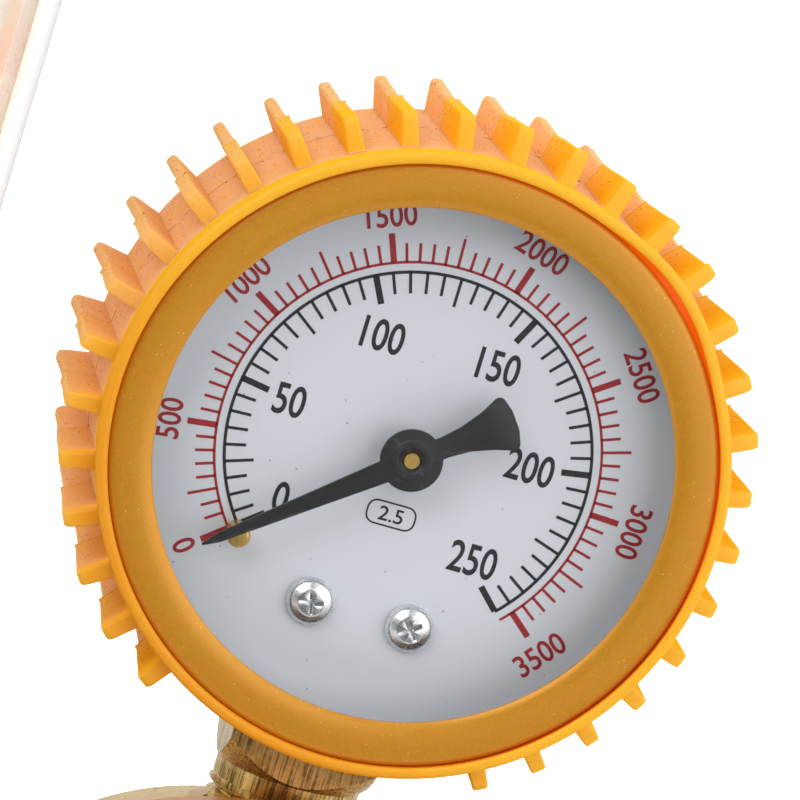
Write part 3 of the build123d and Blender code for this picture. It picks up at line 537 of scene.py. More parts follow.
def boot_material(clean, dust, crease):
    """Yellow rubber: smooth bright lip and fin fronts, dusty wall, painted light and glow inside the lip,
    painted shade on its lower left.
    """
    material, net, shader, vector = placed_material("Yellow rubber boot")
    radius, depth = vector.node.outputs["Radius about Y"], vector.node.outputs["Y"]
    sides = net.add("ShaderNodeSeparateXYZ", {0: vector})
    across, upper_right = sides.outputs[0], net.math("ADD", sides.outputs[0], sides.outputs[2])
    cloudy = mottle(net, vector, 0.3, 0.3, 0.7)
    fine = mottle(net, vector, 3.4, 0.35, 0.7)

    # Dust lies on the wall, behind the seam and thinly before it; the front of the left fins gets the same
    # pale colour
    wall = net.times(net.band(radius, 28.52, 28.36), net.band(depth, -4.6, -3.0))
    left = net.times(net.band(across, -16.0, -27.0), net.band(depth, -5.0, -1.5))
    left = net.times(left, net.band(radius, 28.3, 28.6, 0.0, 0.7))
    back = net.band(depth, 8.2, 8.6, 0.0, 0.85)
    middle = net.band(depth, 0.0, 8.2, 0.0, 0.22)
    dusty = net.math("MAXIMUM", net.math("MAXIMUM", wall, back), net.math("MAXIMUM", middle, left))
    dusty = net.times(dusty, net.band(cloudy, 0.0, 1.0, 0.72, 1.0))
    # Dust with painted highlights: a lighter pinkish stipple of tiny highlights, mixed in by fine noise
    bloom = net.blend(net.times(fine, 0.7), dust, tinted(dust, 1.02, 1.28, 1.75))
    colour = net.blend(dusty, clean, bloom)

    # Painted light inside the lip: deeper orange for light shining through the rubber, and a painted glow
    # where the lip is lifted
    inner = net.times(net.band(depth, -6.75, -6.55), net.band(depth, -4.0, -5.0))
    inner = net.times(inner, net.band(radius, 27.95, 27.8))
    colour = net.blend(inner, colour, crease)
    lifted = net.band(upper_right, 12.0, 32.0)
    net.put(shader, "Emission Color", (1.0, 0.13, 0.0, 1))
    net.put(shader, "Emission Strength", net.times(inner, lifted, 0.3))

    # Painted shade: the lip is darker at the lower left, where less light falls on it
    shade = net.times(net.band(upper_right, -4.0, -34.0), net.band(depth, -4.0, -5.2))
    colour = net.blend(net.times(shade, 0.8), colour, tinted(clean, 0.82, 0.62, 0.5))

    # Grime sits in the mould's seam, and specks mostly behind it
    seam = net.math("COMPARE", depth, -SEAM)
    seam.node.inputs[2].default_value = 0.11
    grime = mottle(net, vector, 0.8, 0.4, 0.6)
    colour = net.blend(net.times(seam, wall, grime), colour, (0.35, 0.1, 0.03, 1))
    dirt = net.times(specks(net, vector, 2.3, 0.23, 0.9), net.band(depth, -4.0, 4.0, 0.08, 1.0))
    net.put(shader, "Base Color", net.blend(dirt, colour, (0.2, 0.03, 0.006, 1)))
    net.put(shader, "Roughness", net.band(dusty, 0.0, 1.0, 0.4, 0.65))
    net.put(shader, "Subsurface Weight", 0.3)
    net.put(shader, "Subsurface Radius", (1.0, 0.32, 0.05))
    net.put(shader, "Subsurface Scale", 0.0022)
    facing = net.add("ShaderNodeLayerWeight", {"Blend": 0.5}).outputs["Facing"]
    net.put(shader, "Specular IOR Level", net.band(facing, 0.35, 0.7, 0.3, 0.0))
    bump(net, shader, net.times(fine, dusty), 0.06, 0.7)
    return material


def gold_material(paint):
    """Gold metallic paint with a fine sparkle and a few pale specks painted as flake glints."""
    material, net, shader, vector = placed_material("Gold metallic paint")
    flakes = net.add("ShaderNodeTexVoronoi", {"Vector": vector, "Scale": 9.0})
    shade = net.band(net.add("ShaderNodeSeparateColor", {0: flakes.outputs["Color"]}).outputs[0], 0.1, 0.9)
    colour = net.blend(net.times(shade, 0.8), tinted(paint, 0.93), tinted(paint, 1.06, 1.07, 1.3))
    colour = net.blend(net.times(mottle(net, vector, 0.12, 0.3, 0.7), 0.25), colour, paint)
    # Painted glints: pale specks for the paint's flakes catching the light
    colour = net.blend(specks(net, vector, 1.7, 0.12, 0.6), colour, (0.9, 0.62, 0.25, 1))
    net.put(shader, "Base Color", colour)
    net.put(shader, "Metallic", 0.35)
    net.put(shader, "Roughness", net.band(shade, 0.0, 1.0, 0.36, 0.5))
    net.put(shader, "Coat Weight", 0.25)
    net.put(shader, "Coat Roughness", 0.22)
    bump(net, shader, shade, 0.004)
    return material


def dial_material(silver):
    """Satin silver dial with a few specks of dust."""
    material, net, shader, vector = placed_material("Satin silver dial")
    fine = mottle(net, vector, 6.0, 0.2, 0.8)
    colour = net.blend(fine, silver, tinted(silver, 0.955))
    colour = net.blend(specks(net, vector, 0.8, 0.09, 0.55), colour, (0.2, 0.18, 0.16, 1))
    net.put(shader, "Base Color", colour)
    net.put(shader, "Metallic", 0.12)
    net.put(shader, "Roughness", net.band(fine, 0.0, 1.0, 0.42, 0.5))
    return material


def print_material(name, ink):
    """Printed ink with slightly uneven cover."""
    material, net, shader, vector = placed_material(name)
    cover = mottle(net, vector, 3.5, 0.3, 0.7)
    net.put(shader, "Base Color", net.blend(cover, ink, tinted(ink, 1.2, lift=0.006)))
    net.put(shader, "Roughness", 0.48)
    return material


def plastic_material(name, colour, rough=0.4, grain=0.02):
    """Moulded plastic with fine grain, dust specks and slightly paler edges."""
    material, net, shader, vector = placed_material(name)
    fine = mottle(net, vector, 5.0, 0.3, 0.7)
    dust = specks(net, vector, 3.0, 0.15, 0.5)
    wear = use(net, "wear", {"Vector": vector})
    shade = net.blend(net.times(fine, 0.4), colour, tinted(colour, 0.8))
    pale = net.math("ADD", dust, net.times(wear, 0.4), clamp=True)
    net.put(shader, "Base Color", net.blend(pale, shade, tinted(colour, 1.6, lift=0.05)))
    net.put(shader, "Roughness", net.band(fine, 0.0, 1.0, rough - 0.07, rough + 0.07))
    bump(net, shader, fine, grain)
    return material


def brass_material(name, colour, rough, cast=False, milled=False):
    """Brass: turned with fine lines, milled with deep streaks, or forged, matt and pitted."""
    material, net, shader, vector = placed_material(name, (-INLET_REACH, 0.0, 0.0))
    stretch = (3.6, 3.6, 0.12) if milled else (9.0, 9.0, 0.5)
    streak_start, streak_end, streaks = (0.47, 0.58, 1.0) if milled else (0.42, 0.7, 0.3)
    depth = 0.3 if milled else 0.66
    dark = tinted(colour, depth, depth * 0.88, depth * 0.68)
    cloudy = net.times(mottle(net, vector, 0.3, 0.3, 0.7), 0.5 if cast else 0.15)
    shade = net.blend(cloudy, colour, dark)
    wear = use(net, "wear", {"Vector": vector, "Start": 0.6, "End": 0.8})
    if cast:
        marks = mottle(net, vector, 4.0, 0.25, 0.75)
        pits = specks(net, vector, 1.4, 0.2, 0.6)
        shade = net.blend(net.times(marks, 0.35), shade, (0.8, 0.66, 0.4, 1))
        shade = net.blend(pits, shade, (0.2, 0.12, 0.05, 1))
        bump(net, shader, net.math("SUBTRACT", marks, pits), 0.04, 0.7)
        low, high = rough - 0.05, rough + 0.1
    else:
        marks = use(net, "lines", {"Vector": vector, "Stretch": stretch})
        shade = net.blend(net.band(marks, streak_start, streak_end, 0.0, streaks), shade, dark)
        bump(net, shader, marks, 0.012)
        low, high = rough - 0.08, rough + 0.12
    net.put(shader, "Base Color", net.blend(net.times(wear, 0.2), shade, (0.95, 0.78, 0.48, 1)))
    net.put(shader, "Metallic", 0.75 if cast else 0.92)
    net.put(shader, "Roughness", net.band(marks, 0.2, 0.8, low, high))
    return material


def steel_material(name, colour, rough):
    """Plated or plain steel with fine scratches."""
    material, net, shader, vector = placed_material(name)
    marks = use(net, "lines", {"Vector": vector, "Stretch": (2.0, 2.0, 9.0)})
    cloudy = net.times(mottle(net, vector, 0.8, 0.3, 0.7), 0.5)
    net.put(shader, "Base Color", net.blend(cloudy, colour, tinted(colour, 0.7)))
    net.put(shader, "Metallic", 1.0)
    net.put(shader, "Roughness", net.band(marks, 0.3, 0.7, rough, rough + 0.15))
    bump(net, shader, marks, 0.01, 0.4)
    return material


def clear_material(name, tint, alpha, glow=0.0):
    """Clear plastic seen mostly by its edges, faintly scuffed, with a painted refraction of the orange boot
    beside it.
    """
    material, net, shader, vector = placed_material(name, (-INLET_REACH + FLOW_X, 0.0, GAUGE_Z))
    scuffs = use(net, "lines", {"Vector": vector, "Stretch": (1.2, 1.2, 0.15)})
    edge = net.add("ShaderNodeLayerWeight", {"Blend": 0.35}).outputs["Facing"]
    grazing = net.add("ShaderNodeLayerWeight", {"Blend": 0.5}).outputs["Facing"]
    parts = net.add("ShaderNodeSeparateXYZ", {0: vector})
    height = net.math("ABSOLUTE", parts.outputs[2])
    # Painted refraction: the part of the tube beside the boot takes the boot's orange and some opacity
    boot_refraction = net.times(net.band(parts.outputs[0], 8.6, 10.4), net.band(height, 46.0, 24.0))
    boot_refraction = net.times(boot_refraction, net.band(grazing, 0.58, 0.55, 0.0, glow))
    cast = net.blend(mottle(net, vector, 0.16, 0.45, 0.6), (1.0, 0.56, 0.28, 1), (1.0, 0.78, 0.4, 1))
    net.put(shader, "Base Color", net.blend(boot_refraction, tint, cast))
    net.put(shader, "Roughness", net.band(scuffs, 0.45, 0.8, 0.02, 0.12))
    solid = net.band(net.math("POWER", edge, 2.0), 0.0, 1.0, alpha, alpha + 0.5)
    solid = net.math("ADD", solid, net.band(grazing, 0.55, 0.6, 0.0, 0.13 * glow))
    net.put(shader, "Alpha", net.math("MAXIMUM", solid, net.times(boot_refraction, 0.36)))
    net.put(shader, "IOR", 1.49)
    return material


def rubber_material(name, colour):
    """Matt black rubber with a fine bloom."""
    material, net, shader, vector = placed_material(name)
    fine = mottle(net, vector, 2.0, 0.3, 0.7)
    net.put(shader, "Base Color", net.blend(fine, colour, tinted(colour, 1.8, lift=0.01)))
    net.put(shader, "Roughness", 0.75)
    bump(net, shader, fine, 0.03)
    return material


# Settings that a user would change

class BootSettings(bpy.types.PropertyGroup):
    """Sizes and colours of the finned boot."""

    fins: bpy.props.IntProperty(name="Fins", description="Number of fins around the boot", default=31, min=4)
    pitch: bpy.props.FloatProperty(name="Pitch", description="Even angle between fins", subtype="ANGLE",
                                   default=math.radians(9.98))
    drift: bpy.props.FloatProperty(name="Drift", description="How far the rubber draws the fins upwards",
                                   subtype="ANGLE", default=math.radians(2.0))
    twist: bpy.props.FloatProperty(name="Twist", description="Turn of the back against the front",
                                   subtype="ANGLE", default=math.radians(1.2))
    clean: bpy.props.FloatVectorProperty(name="Rubber", description="Colour of the smooth rubber",
                                         subtype="COLOR", size=4, default=(1.0, 0.485, 0.02, 1))
    dust: bpy.props.FloatVectorProperty(name="Dust", description="Colour of the dusty wall", subtype="COLOR",
                                        size=4, default=(1.0, 0.49, 0.22, 1))
    # Painted light: deeper orange inside the lip for light shining through the rubber
    crease: bpy.props.FloatVectorProperty(name="Crease", description="Colour inside the lip", subtype="COLOR",
                                          size=4, default=(0.80, 0.085, 0.0, 1))


class GaugeSettings(bpy.types.PropertyGroup):
    """Colours of the gauge."""

    paint: bpy.props.FloatVectorProperty(name="Paint", description="Gold paint of bezel and bonnet",
                                         subtype="COLOR", size=4, default=(0.64, 0.272, 0.0085, 1))
    silver: bpy.props.FloatVectorProperty(name="Dial", description="Colour of the dial", subtype="COLOR",
                                          size=4, default=(0.75, 0.785, 0.84, 1))
    black: bpy.props.FloatVectorProperty(name="Black ink", description="Colour of the inner scale",
                                         subtype="COLOR", size=4, default=(0.012, 0.012, 0.014, 1))
    red: bpy.props.FloatVectorProperty(name="Red ink", description="Colour of the outer scale",
                                       subtype="COLOR", size=4, default=(0.35, 0.012, 0.018, 1))


class BrassSettings(bpy.types.PropertyGroup):
    """Colours of the brass parts."""

    cut: bpy.props.FloatVectorProperty(name="Cut brass", description="Colour of machined brass",
                                       subtype="COLOR", size=4, default=(0.70, 0.46, 0.14, 1))
    cast: bpy.props.FloatVectorProperty(name="Forged brass", description="Colour of forged brass",
                                        subtype="COLOR", size=4, default=(0.74, 0.57, 0.31, 1))


class StageSettings(bpy.types.PropertyGroup):
    """Camera and light."""

    lens: bpy.props.FloatProperty(name="Lens", description="Focal length of the camera", unit="CAMERA",
                                  default=305.466)
    key: bpy.props.FloatProperty(name="Key light", description="Power of the large left light", unit="POWER",
                                 default=5.3)
    fill: bpy.props.FloatProperty(name="Fill light", description="Power of the right light", unit="POWER",
                                  default=6.9)
    ambient: bpy.props.FloatProperty(name="Ambient", description="Strength of the white surroundings",
                                     default=0.95)
    front: bpy.props.FloatProperty(name="Front", description="Strength of the surroundings behind the camera",
                                   default=0.12)


# Boot

SEAM = -8.4
FIRST_FIN = -62.1
DRIFT_CENTRE = 98.0
FIN_FOOT = 27.7
FIN_BACK = -21.9

# Directions between which fins share a shape: where the front begins, and how far they reach at the front,
# the seam and the back, as the stretched rubber leans back on the upper left
FIN_GROUPS = ((-90, -15, 5.3, 30.7, 30.2, 30.1),
              (-15, 15, 5.3, 30.75, 30.1, 30.0),
              (15, 35, 5.1, 31.15, 30.3, 30.2),
              (35, 45, 5.0, 31.35, 30.65, 30.5),
              (45, 95, 4.4, 31.65, 30.85, 30.8),
              (95, 170, 3.5, 31.5, 31.2, 31.38),
              (170, 195, 4.6, 31.5, 31.2, 31.2),
              (195, 230, 5.0, 31.5, 31.1, 30.8),
              (230, 270, 5.0, 31.2, 30.8, 30.6))

# The lip stands off the bezel around one direction, by full height in the middle and nothing at the reach.
# Its slices lie between two heights and outside a radius, and each takes a share of the lift.
LIP_MIDDLE, LIP_REACH, LIP_HEIGHT = 50.0, 23.0, 0.6
LIP_SLICES = ((6.5, 8.0, 27.1, 1.0), (4.8, 6.5, 28.0, 0.85), (3.0, 4.8, 28.0, 0.4))


def fin_half(name, side, root, tip, bevel):
    """Half of a fin: a wedge that thins outwards, cut to its side profile, with rounded edges."""
    heights = [point[1] for point in side]
    wedge = prism(name, [(27.6, -root), (31.9, -tip), (31.9, tip), (27.6, root)], min(heights) - 0.5,
                  max(heights) + 0.5)
    profile = outline_object(name + "_side", side)
    fill()
    bpy.ops.mesh.extrude_region_move(TRANSFORM_OT_translate={"value": (0, 3, 0)})
    bpy.ops.mesh.select_all(action="SELECT")
    bpy.ops.transform.translate(value=(0, -1.5, 0))
    leave()
    cut(wedge, profile, "INTERSECT")
    soften(wedge, bevel, 4, 28)
    return wedge


def fin_piece(start, ahead, seam, behind):
    """One fin: a wide front half, the thin flash of the mould, and a narrower, rounded back half."""
    front = rounded([(FIN_FOOT, start), (28.4, start), (ahead, start - 0.6), (seam, SEAM), (FIN_FOOT, SEAM)],
                    {1: 0.5, 2: 1.1})
    flash = [(FIN_FOOT, SEAM + 0.12), (seam + 0.05, SEAM + 0.12), (seam + 0.05, SEAM - 0.1),
             (FIN_FOOT, SEAM - 0.1)]
    back = rounded([(FIN_FOOT, SEAM + 0.3), (seam - 0.2, SEAM + 0.3), (behind, FIN_BACK + 0.1),
                    (28.2, FIN_BACK), (FIN_FOOT, FIN_BACK)], {2: 1.2 if behind > 31 else 2.4, 3: 0.6})
    return join([fin_half("fin", front, 0.82, 0.66, 0.26), fin_half("fin_flash", flash, 0.85, 0.69, 0.03),
                 fin_half("fin_back", back, 0.74, 0.52, 0.36)])


def fin_directions(settings):
    """Directions of the fins, drawn a little together at the top by the stretch of the rubber."""
    out = []
    for index in range(settings.fins):
        even = FIRST_FIN + math.degrees(settings.pitch) * index
        out.append(even - math.degrees(settings.drift) * math.sin(math.radians(even - DRIFT_CENTRE)))
    return out


def lift_lip(boot):
    """Pushes the lip off the bezel over a short stretch at the upper right, slice by slice."""
    activate(boot)
    bpy.ops.object.mode_set(mode="EDIT")
    for direction in range(28, 74, 2):
        amount = LIP_HEIGHT * math.cos(math.radians(90 * (direction - LIP_MIDDLE) / LIP_REACH)) ** 2
        shift = Vector((*around(1.0, direction), 0))
        for low, high, inside, share in LIP_SLICES:
            def in_slice(co):
                """Whether a vertex lies in this slice of the lip."""
                angle = math.degrees(math.atan2(co.y, co.x))
                outside = math.hypot(co.x, co.y) > inside
                return abs(angle - direction) <= 1.0 and low < co.z <= high and outside
            if pick(boot, in_slice):
                bpy.ops.transform.translate(value=shift * amount * share)
    bpy.ops.object.mode_set(mode="OBJECT")


def build_boot(settings):
    """Boot with its sleeve, lip, fins and the notch for the stem."""
    sleeve = lathe("boot", [(27.27, 6.1), (27.27, 6.93), (28.32, 6.93), (28.32, 4.4), (28.24, 3.9),
                            (28.26, SEAM + 0.2), (28.36, SEAM + 0.08), (28.36, SEAM - 0.1),
                            (28.2, SEAM - 0.26), (28.2, -22.45), (22.3, -22.45), (22.3, -20.5),
                            (26.26, -20.5), (26.26, -2.12), (27.47, -2.12), (27.47, 6.1)],
                   {1: 0.38, 2: 0.6, 9: 0.7}, steps=180)
    directions = fin_directions(settings)
    fins = []
    for low, high, *shape in FIN_GROUPS:
        fins.append(copies(fin_piece(*shape), [turn for turn in directions if low <= turn < high]))
    fins = join(fins)
    cut(sleeve, block("notch", (-8, -33, -23.5), (8, -20.2, -5.9)))
    boot = join([sleeve, fins])
    lift_lip(boot)
    twist = boot.modifiers.new("Twist", "SIMPLE_DEFORM")
    twist.deform_method = "TWIST"
    twist.deform_axis = "Z"
    twist.angle = -settings.twist
    apply_modifiers(boot)
    material = boot_material(settings.clean, settings.dust, settings.crease)
    finish(boot, "boot_piece", GAUGE, "regulator", material, ["gauge_boot"], smooth=40)


# Gauge front

# Height and thickening of the print, and directions in degrees of both scales' end ticks and of their zero
PRINT_Z = 0.02
BOLD = 0.014
FIRST_TICK = 218.5
LAST_TICK = -45.0
SCALE_ZERO = 225.0
MARK_X, MARK_Y = 0.1, -5.76
ARM_LOW, ARM_HIGH = 2.77, 3.18


def build_bezel():
    """Bezel ring with its narrow inner lip and rounded outer edge."""
    ring = lathe("bezel", [(23.3, 5.62), (23.3, 5.98), (23.4, 6.07), (23.75, 6.22), (24.15, 6.32),
                           (24.6, 6.365), (25.1, 6.38), (26.5, 6.38), (26.9, 6.3), (27.15, 6.16),
                           (27.32, 5.93), (27.38, 5.6), (27.38, -2.0), (26.26, -2.0), (26.26, 5.62)],
                 steps=180)
    finish(ring, "bezel_piece", GAUGE, "regulator", MATERIALS["gold_paint"], ["gauge_bezel"])


def arc_strip(inner, outer):
    """Flat arc of a printed scale, spun from an edge and turned until it ends at both end ticks."""
    obj = outline_object("arc", [(inner, PRINT_Z), (outer, PRINT_Z)], closed=False)
    spin(120, FIRST_TICK - LAST_TICK)
    bpy.ops.object.mode_set(mode="OBJECT")
    ahead = sum(1 for vert in obj.data.vertices if vert.co.y > 0.01)
    behind = sum(1 for vert in obj.data.vertices if vert.co.y < -0.01)
    return moved(obj, turned(LAST_TICK if ahead >= behind else FIRST_TICK))


def tick_strip(inner, outer, width):
    """Flat tick lying along X between two radii."""
    clear()
    bpy.ops.mesh.primitive_plane_add(size=1, location=((inner + outer) / 2, 0, PRINT_Z))
    bpy.context.object.scale = (outer - inner, width, 1)
    return added("tick")


def scale_print(arc, values, slope, medium, major, ticks):
    """A scale's arc and ticks. Each kind of tick is given by its inner radius, outer radius and width."""
    pieces = [arc_strip(*arc)]
    angles = {"minor": [], "medium": [], "major": [FIRST_TICK]}
    for value in values:
        kind = "major" if value % major == 0 else "medium" if value % medium == 0 else "minor"
        angles[kind].append(SCALE_ZERO - slope * value)
    for kind, sizes in ticks.items():
        pieces.append(copies(tick_strip(*sizes), angles[kind]))
    return pieces


def numeral(text, x, y, turn, height, squeeze, z, bold):
    """Plain numeral centred at a place, made from the built-in font."""
    clear()
    bpy.ops.object.text_add(location=(0, 0, 0))
    obj = bpy.context.object
    obj.data.body = text
    obj.data.align_x = "CENTER"
    obj.data.align_y = "CENTER"
    obj.data.size = 1.0
    obj.data.offset = bold
    obj.data.resolution_u = 5
    bpy.ops.object.convert(target="MESH")
    tall = [vert.co.y for vert in obj.data.vertices]
    wide = [vert.co.x for vert in obj.data.vertices]
    scale = height / (max(tall) - min(tall))
    middle = Vector(((max(wide) + min(wide)) / 2, (max(tall) + min(tall)) / 2, 0))
    size = Matrix.Diagonal((scale * squeeze, scale, 1, 1))
    return moved(obj, Matrix.Translation((x, y, z)) @ turned(turn) @ size @ Matrix.Translation(-middle))


def class_mark():
    """Outline with rounded ends around the accuracy class."""
    corners = [(-2.3, -1.15), (2.3, -1.15), (2.3, 1.15), (-2.3, 1.15)]
    mark = outline_object("mark", rounded(corners, {index: 0.9 for index in range(4)}))
    fill()
    bpy.ops.mesh.inset(thickness=0.16, depth=0)
    bpy.ops.mesh.delete(type="FACE")
    bpy.ops.object.mode_set(mode="OBJECT")
    return moved(mark, Matrix.Translation((MARK_X, MARK_Y, PRINT_Z)) @ turned(-90, "X"))


def build_print(settings):
    """Both printed scales: arcs, ticks, numerals and the class mark's outline."""
    black = scale_print((16.39, 16.68), range(10, 251, 5), 1.08, 25, 50,
                        {"minor": (14.6, 16.5, 0.28), "medium": (13.9, 16.5, 0.28),
                         "major": (13.9, 16.5, 0.58)})
    for text, x, y in (("0", -9.9, -6.9), ("50", -11.65, 1.8), ("100", -5.3, 9.7), ("150", 5.5, 9.8),
                       ("200", 10.9, 1.8), ("250", 8.4, -7.7)):
        black.append(numeral(text, x, y, 0, 2.95, 0.74, PRINT_Z, BOLD))
    black.append(numeral("2.5", MARK_X, MARK_Y, 0, 1.35, 1.05, PRINT_Z, 0.01))
    black.append(class_mark())
    ink = print_material("Black ink", settings.black)
    finish(join(black), "print_black", GAUGE, "regulator", ink)

    red = scale_print((17.31, 17.55), range(150, 3501, 50), 265.70 / 3500, 250, 500,
                      {"minor": (17.43, 19.15, 0.26), "medium": (17.43, 20.1, 0.26),
                       "major": (17.43, 20.1, 0.56)})
    for text, angle, radius in (("0", 218.3, 21.7), ("500", 187.1, 21.7), ("1000", 148.5, 21.7),
                                ("1500", 110.8, 21.7), ("2000", 73.2, 21.7), ("2500", 34.7, 22.1),
                                ("3000", -3.6, 21.7), ("3500", -40.6, 22.1)):
        upright = 90 if text == "3500" else -90
        red.append(numeral(text, *around(radius, angle), angle + upright, 2.1, 0.88, PRINT_Z, BOLD))
    ink = print_material("Red ink", settings.red)
    finish(join(red), "print_red", GAUGE, "regulator", ink)


def build_screws():
    """Two pan-head screws with a cross recess."""
    screws = []
    for x, turn in ((-4.65, 12.0), (4.65, 38.0)):
        head = lathe("screw", [(0, -0.02), (2.18, -0.02), (2.2, 0.45), (1.9, 0.95), (1.2, 1.32), (0, 1.44)],
                     {2: 0.25, 3: 0.6, 4: 0.5}, steps=64)
        for angle in (0, 90):
            cut(head, moved(block("slot", (-1.15, -0.2, 0.62), (1.15, 0.2, 2.0)), turned(angle + turn)))
        soften(head, 0.05, 2, 40)
        screws.append(moved(head, Matrix.Translation((x, -15.2, 0))))
    finish(join(screws), "dial_screw_heads", GAUGE, "regulator", MATERIALS["screw_zinc"],
           ["dial_screws"])


def build_pointer():
    """Moulded pointer with its hub, raised ring, tapering arm and fish-tail."""
    arm = prism("arm", [(1.5, -1.06), (2.85, -1.0), (18.6, -0.4), (20.1, -0.07), (20.1, 0.07), (18.6, 0.4),
                        (2.85, 1.0), (1.5, 1.06)], ARM_LOW, ARM_HIGH)
    fishtail = rounded([(-1.5, -1.0), (-3.2, -0.95), (-5.2, -1.2), (-7.2, -1.85), (-9.4, -2.85),
                        (-9.95, -1.0), (-10.0, 0.8), (-9.6, 2.6), (-7.4, 1.7), (-5.2, 1.15), (-3.2, 0.95),
                        (-1.5, 1.0)], {3: 2.0, 4: 0.6, 7: 0.6, 8: 2.0})
    tail = prism("tail", fishtail, ARM_LOW, ARM_HIGH)
    hub = lathe("hub", [(0.72, 0.82), (1.78, 0.82), (1.78, 2.77), (2.84, 2.77), (2.84, 3.16), (1.9, 3.16),
                        (1.75, 3.28), (1.25, 3.28), (1.0, 3.05), (0.72, 3.02)], {4: 0.1})
    cut(arm, tail, "UNION")
    cut(hub, arm, "UNION")
    soften(hub, 0.09)
    stand_in(moved(hub, turned(218.0)), "pointer", GAUGE)


# Stem

# Thread of the stem and of the outlet fitting
FINE_THREAD = {"pitch": 1.5, "depth": 0.85}


def thread_ring(radius, low, high, pitch, depth):
    """Profile points of a thread between two heights, cut inwards from the outer radius."""
    points = [(radius, low)]
    for index in range(int((high - low) / pitch)):
        start = low + index * pitch
        points += [(radius, start + pitch * 0.12), (radius - depth, start + pitch * 0.5),
                   (radius - depth, start + pitch * 0.58), (radius, start + pitch * 0.96)]
    return points + [(radius, high)]


def build_stem(brass):
    """Socket: square stem with turned cone, neck, groove and thread, and its block in the case."""
    square = block("stem", (-7, -7, 31.7), (7, 7, 39.75))
    cone = lathe("stem_cone", [(0, 31.0), (6.8, 31.0), (6.8, 32.2), (10.1, 35.5), (10.1, 41.0), (0, 41.0)],
                 steps=120)
    cut(square, cone, "INTERSECT")
    soften(square, 0.16, 2, 30)
    thread = thread_ring(7.0, 17.9, 29.9, **FINE_THREAD)
    shank = lathe("shank", [(0, 17.3), (6.2, 17.3)] + thread
                  + [(6.45, 29.9), (6.45, 30.45), (6.78, 30.55), (6.78, 32.4), (0, 32.4)])
    inner = block("socket_block", (-6.98, -5.38, 39.0), (6.98, 5.68, 58.98), 0.3)
    stem = join([square, shank, inner])
    finish(stem, "stem_piece", BODY, "regulator", brass, ["gauge_socket"], smooth=30)


# Body, bonnet and relief valve

TO_FRONT = turned(90, "X")
ALONG_X = turned(90, "Y")


def build_body():
    """Forged body: drum with rounded rims, its bosses, and the machined bores that other parts enter."""
    body = lathe("body", [(0, -17), (20, -17), (20, -12.2), (27, -12.2), (27, 8.7), (25, 8.7), (25, 13),
                          (0, 13)], {1: 2.0, 3: 1.5, 4: 0.4}, steps=128)
    moved(body, TO_FRONT)
    down = TO_FRONT @ TO_FRONT
    for radius, high, turn in ((8.6, 27.4, None), (8.6, 32.0, ALONG_X), (8.6, 30.0, ALONG_X @ down),
                               (8.0, 28.5, down)):
        boss = lathe("boss", [(0, 19.0), (radius, 19.0), (radius, high), (0, high)], {2: 0.4}, steps=72)
        cut(body, moved(boss, turn) if turn else boss, "UNION")
    chamber = lathe("chamber", [(0, -18), (6.05, -18), (6.05, -9), (4.06, -9), (4.06, 3), (5.05, 3),
                                (5.05, 10), (19.5, 10), (19.5, 14), (0, 14)], steps=72)
    cut(body, moved(chamber, TO_FRONT))
    bore(body, 7.05, 16.0, 28.0)
    bore(body, 6.65, 20.0, 33.0, ALONG_X)
    bore(body, 6.55, -31.0, -20.0, ALONG_X)
    bore(body, 5.05, -29.5, -20.0)
    stand_in(body, "regulator_body", BODY, 30)


def build_bonnet():
    """Painted bonnet with its cavity, and the cap pressed into its front."""
    bonnet = lathe("bonnet", [(25.05, 8.74), (31, 8.74), (31, 22.7), (27, 29.5), (22, 34), (13.7, 34),
                              (13.7, 32.35), (4.05, 32.35), (4.05, 28), (11, 28), (13, 17.6), (16.96, 17.6),
                              (16.96, 14.7), (25.05, 14.7)], {1: 0.8, 2: 4.0, 3: 2.5, 4: 3.0, 5: 0.3},
                   steps=144)
    stand_in(bonnet, "bonnet", FRONT)
    cap = lathe("cap", [(0, 32.36), (13.6, 32.36), (13.6, 34), (12.9, 34.58), (10.2, 34.58), (9.9, 34.3),
                        (9.3, 34.3), (9.0, 34.58), (0, 34.58)], {1: 0.2, 2: 0.3, 3: 0.4}, steps=128)
    stand_in(cap, "preset_cap", FRONT)


def build_rear_and_relief():
    """Hexagon plug behind the drum, and the relief valve under it with its knurled cap."""
    plug = join([hexagon("plug", 17, -21.95, -18.0),
                 lathe("plug_shank", [(0, -18.2), (6, -18.2), (6, -10.3), (5.6, -10), (0, -10)])])
    stand_in(plug, "rear_plug", FRONT)
    relief = join([hexagon("relief", 13, -33.45, -28.52),
                   lathe("relief_shank", [(0, -41.5), (5.55, -41.5), (5.55, -33.3), (5.0, -33.0),
                                          (5.0, -22.4), (4.6, -22), (0, -22)], {1: 0.2})])
    bore(relief, 3.6, -43, -31.0)
    bore(relief, 1.2, -36, -20)
    stand_in(relief, "relief_body", BODY)
    cap = lathe("relief_cap", [(1.0, -42.3), (7.2, -42.3), (7.2, -34.5), (5.65, -34.5), (5.65, -41.55),
                               (3.55, -41.55), (3.55, -40.3), (1.0, -40.3)], {1: 0.8, 2: 0.4})
    fluted(cap, 7.2, 0.25, 40, -43, -34)
    stand_in(cap, "relief_cap", BODY, 25)


# Inlet

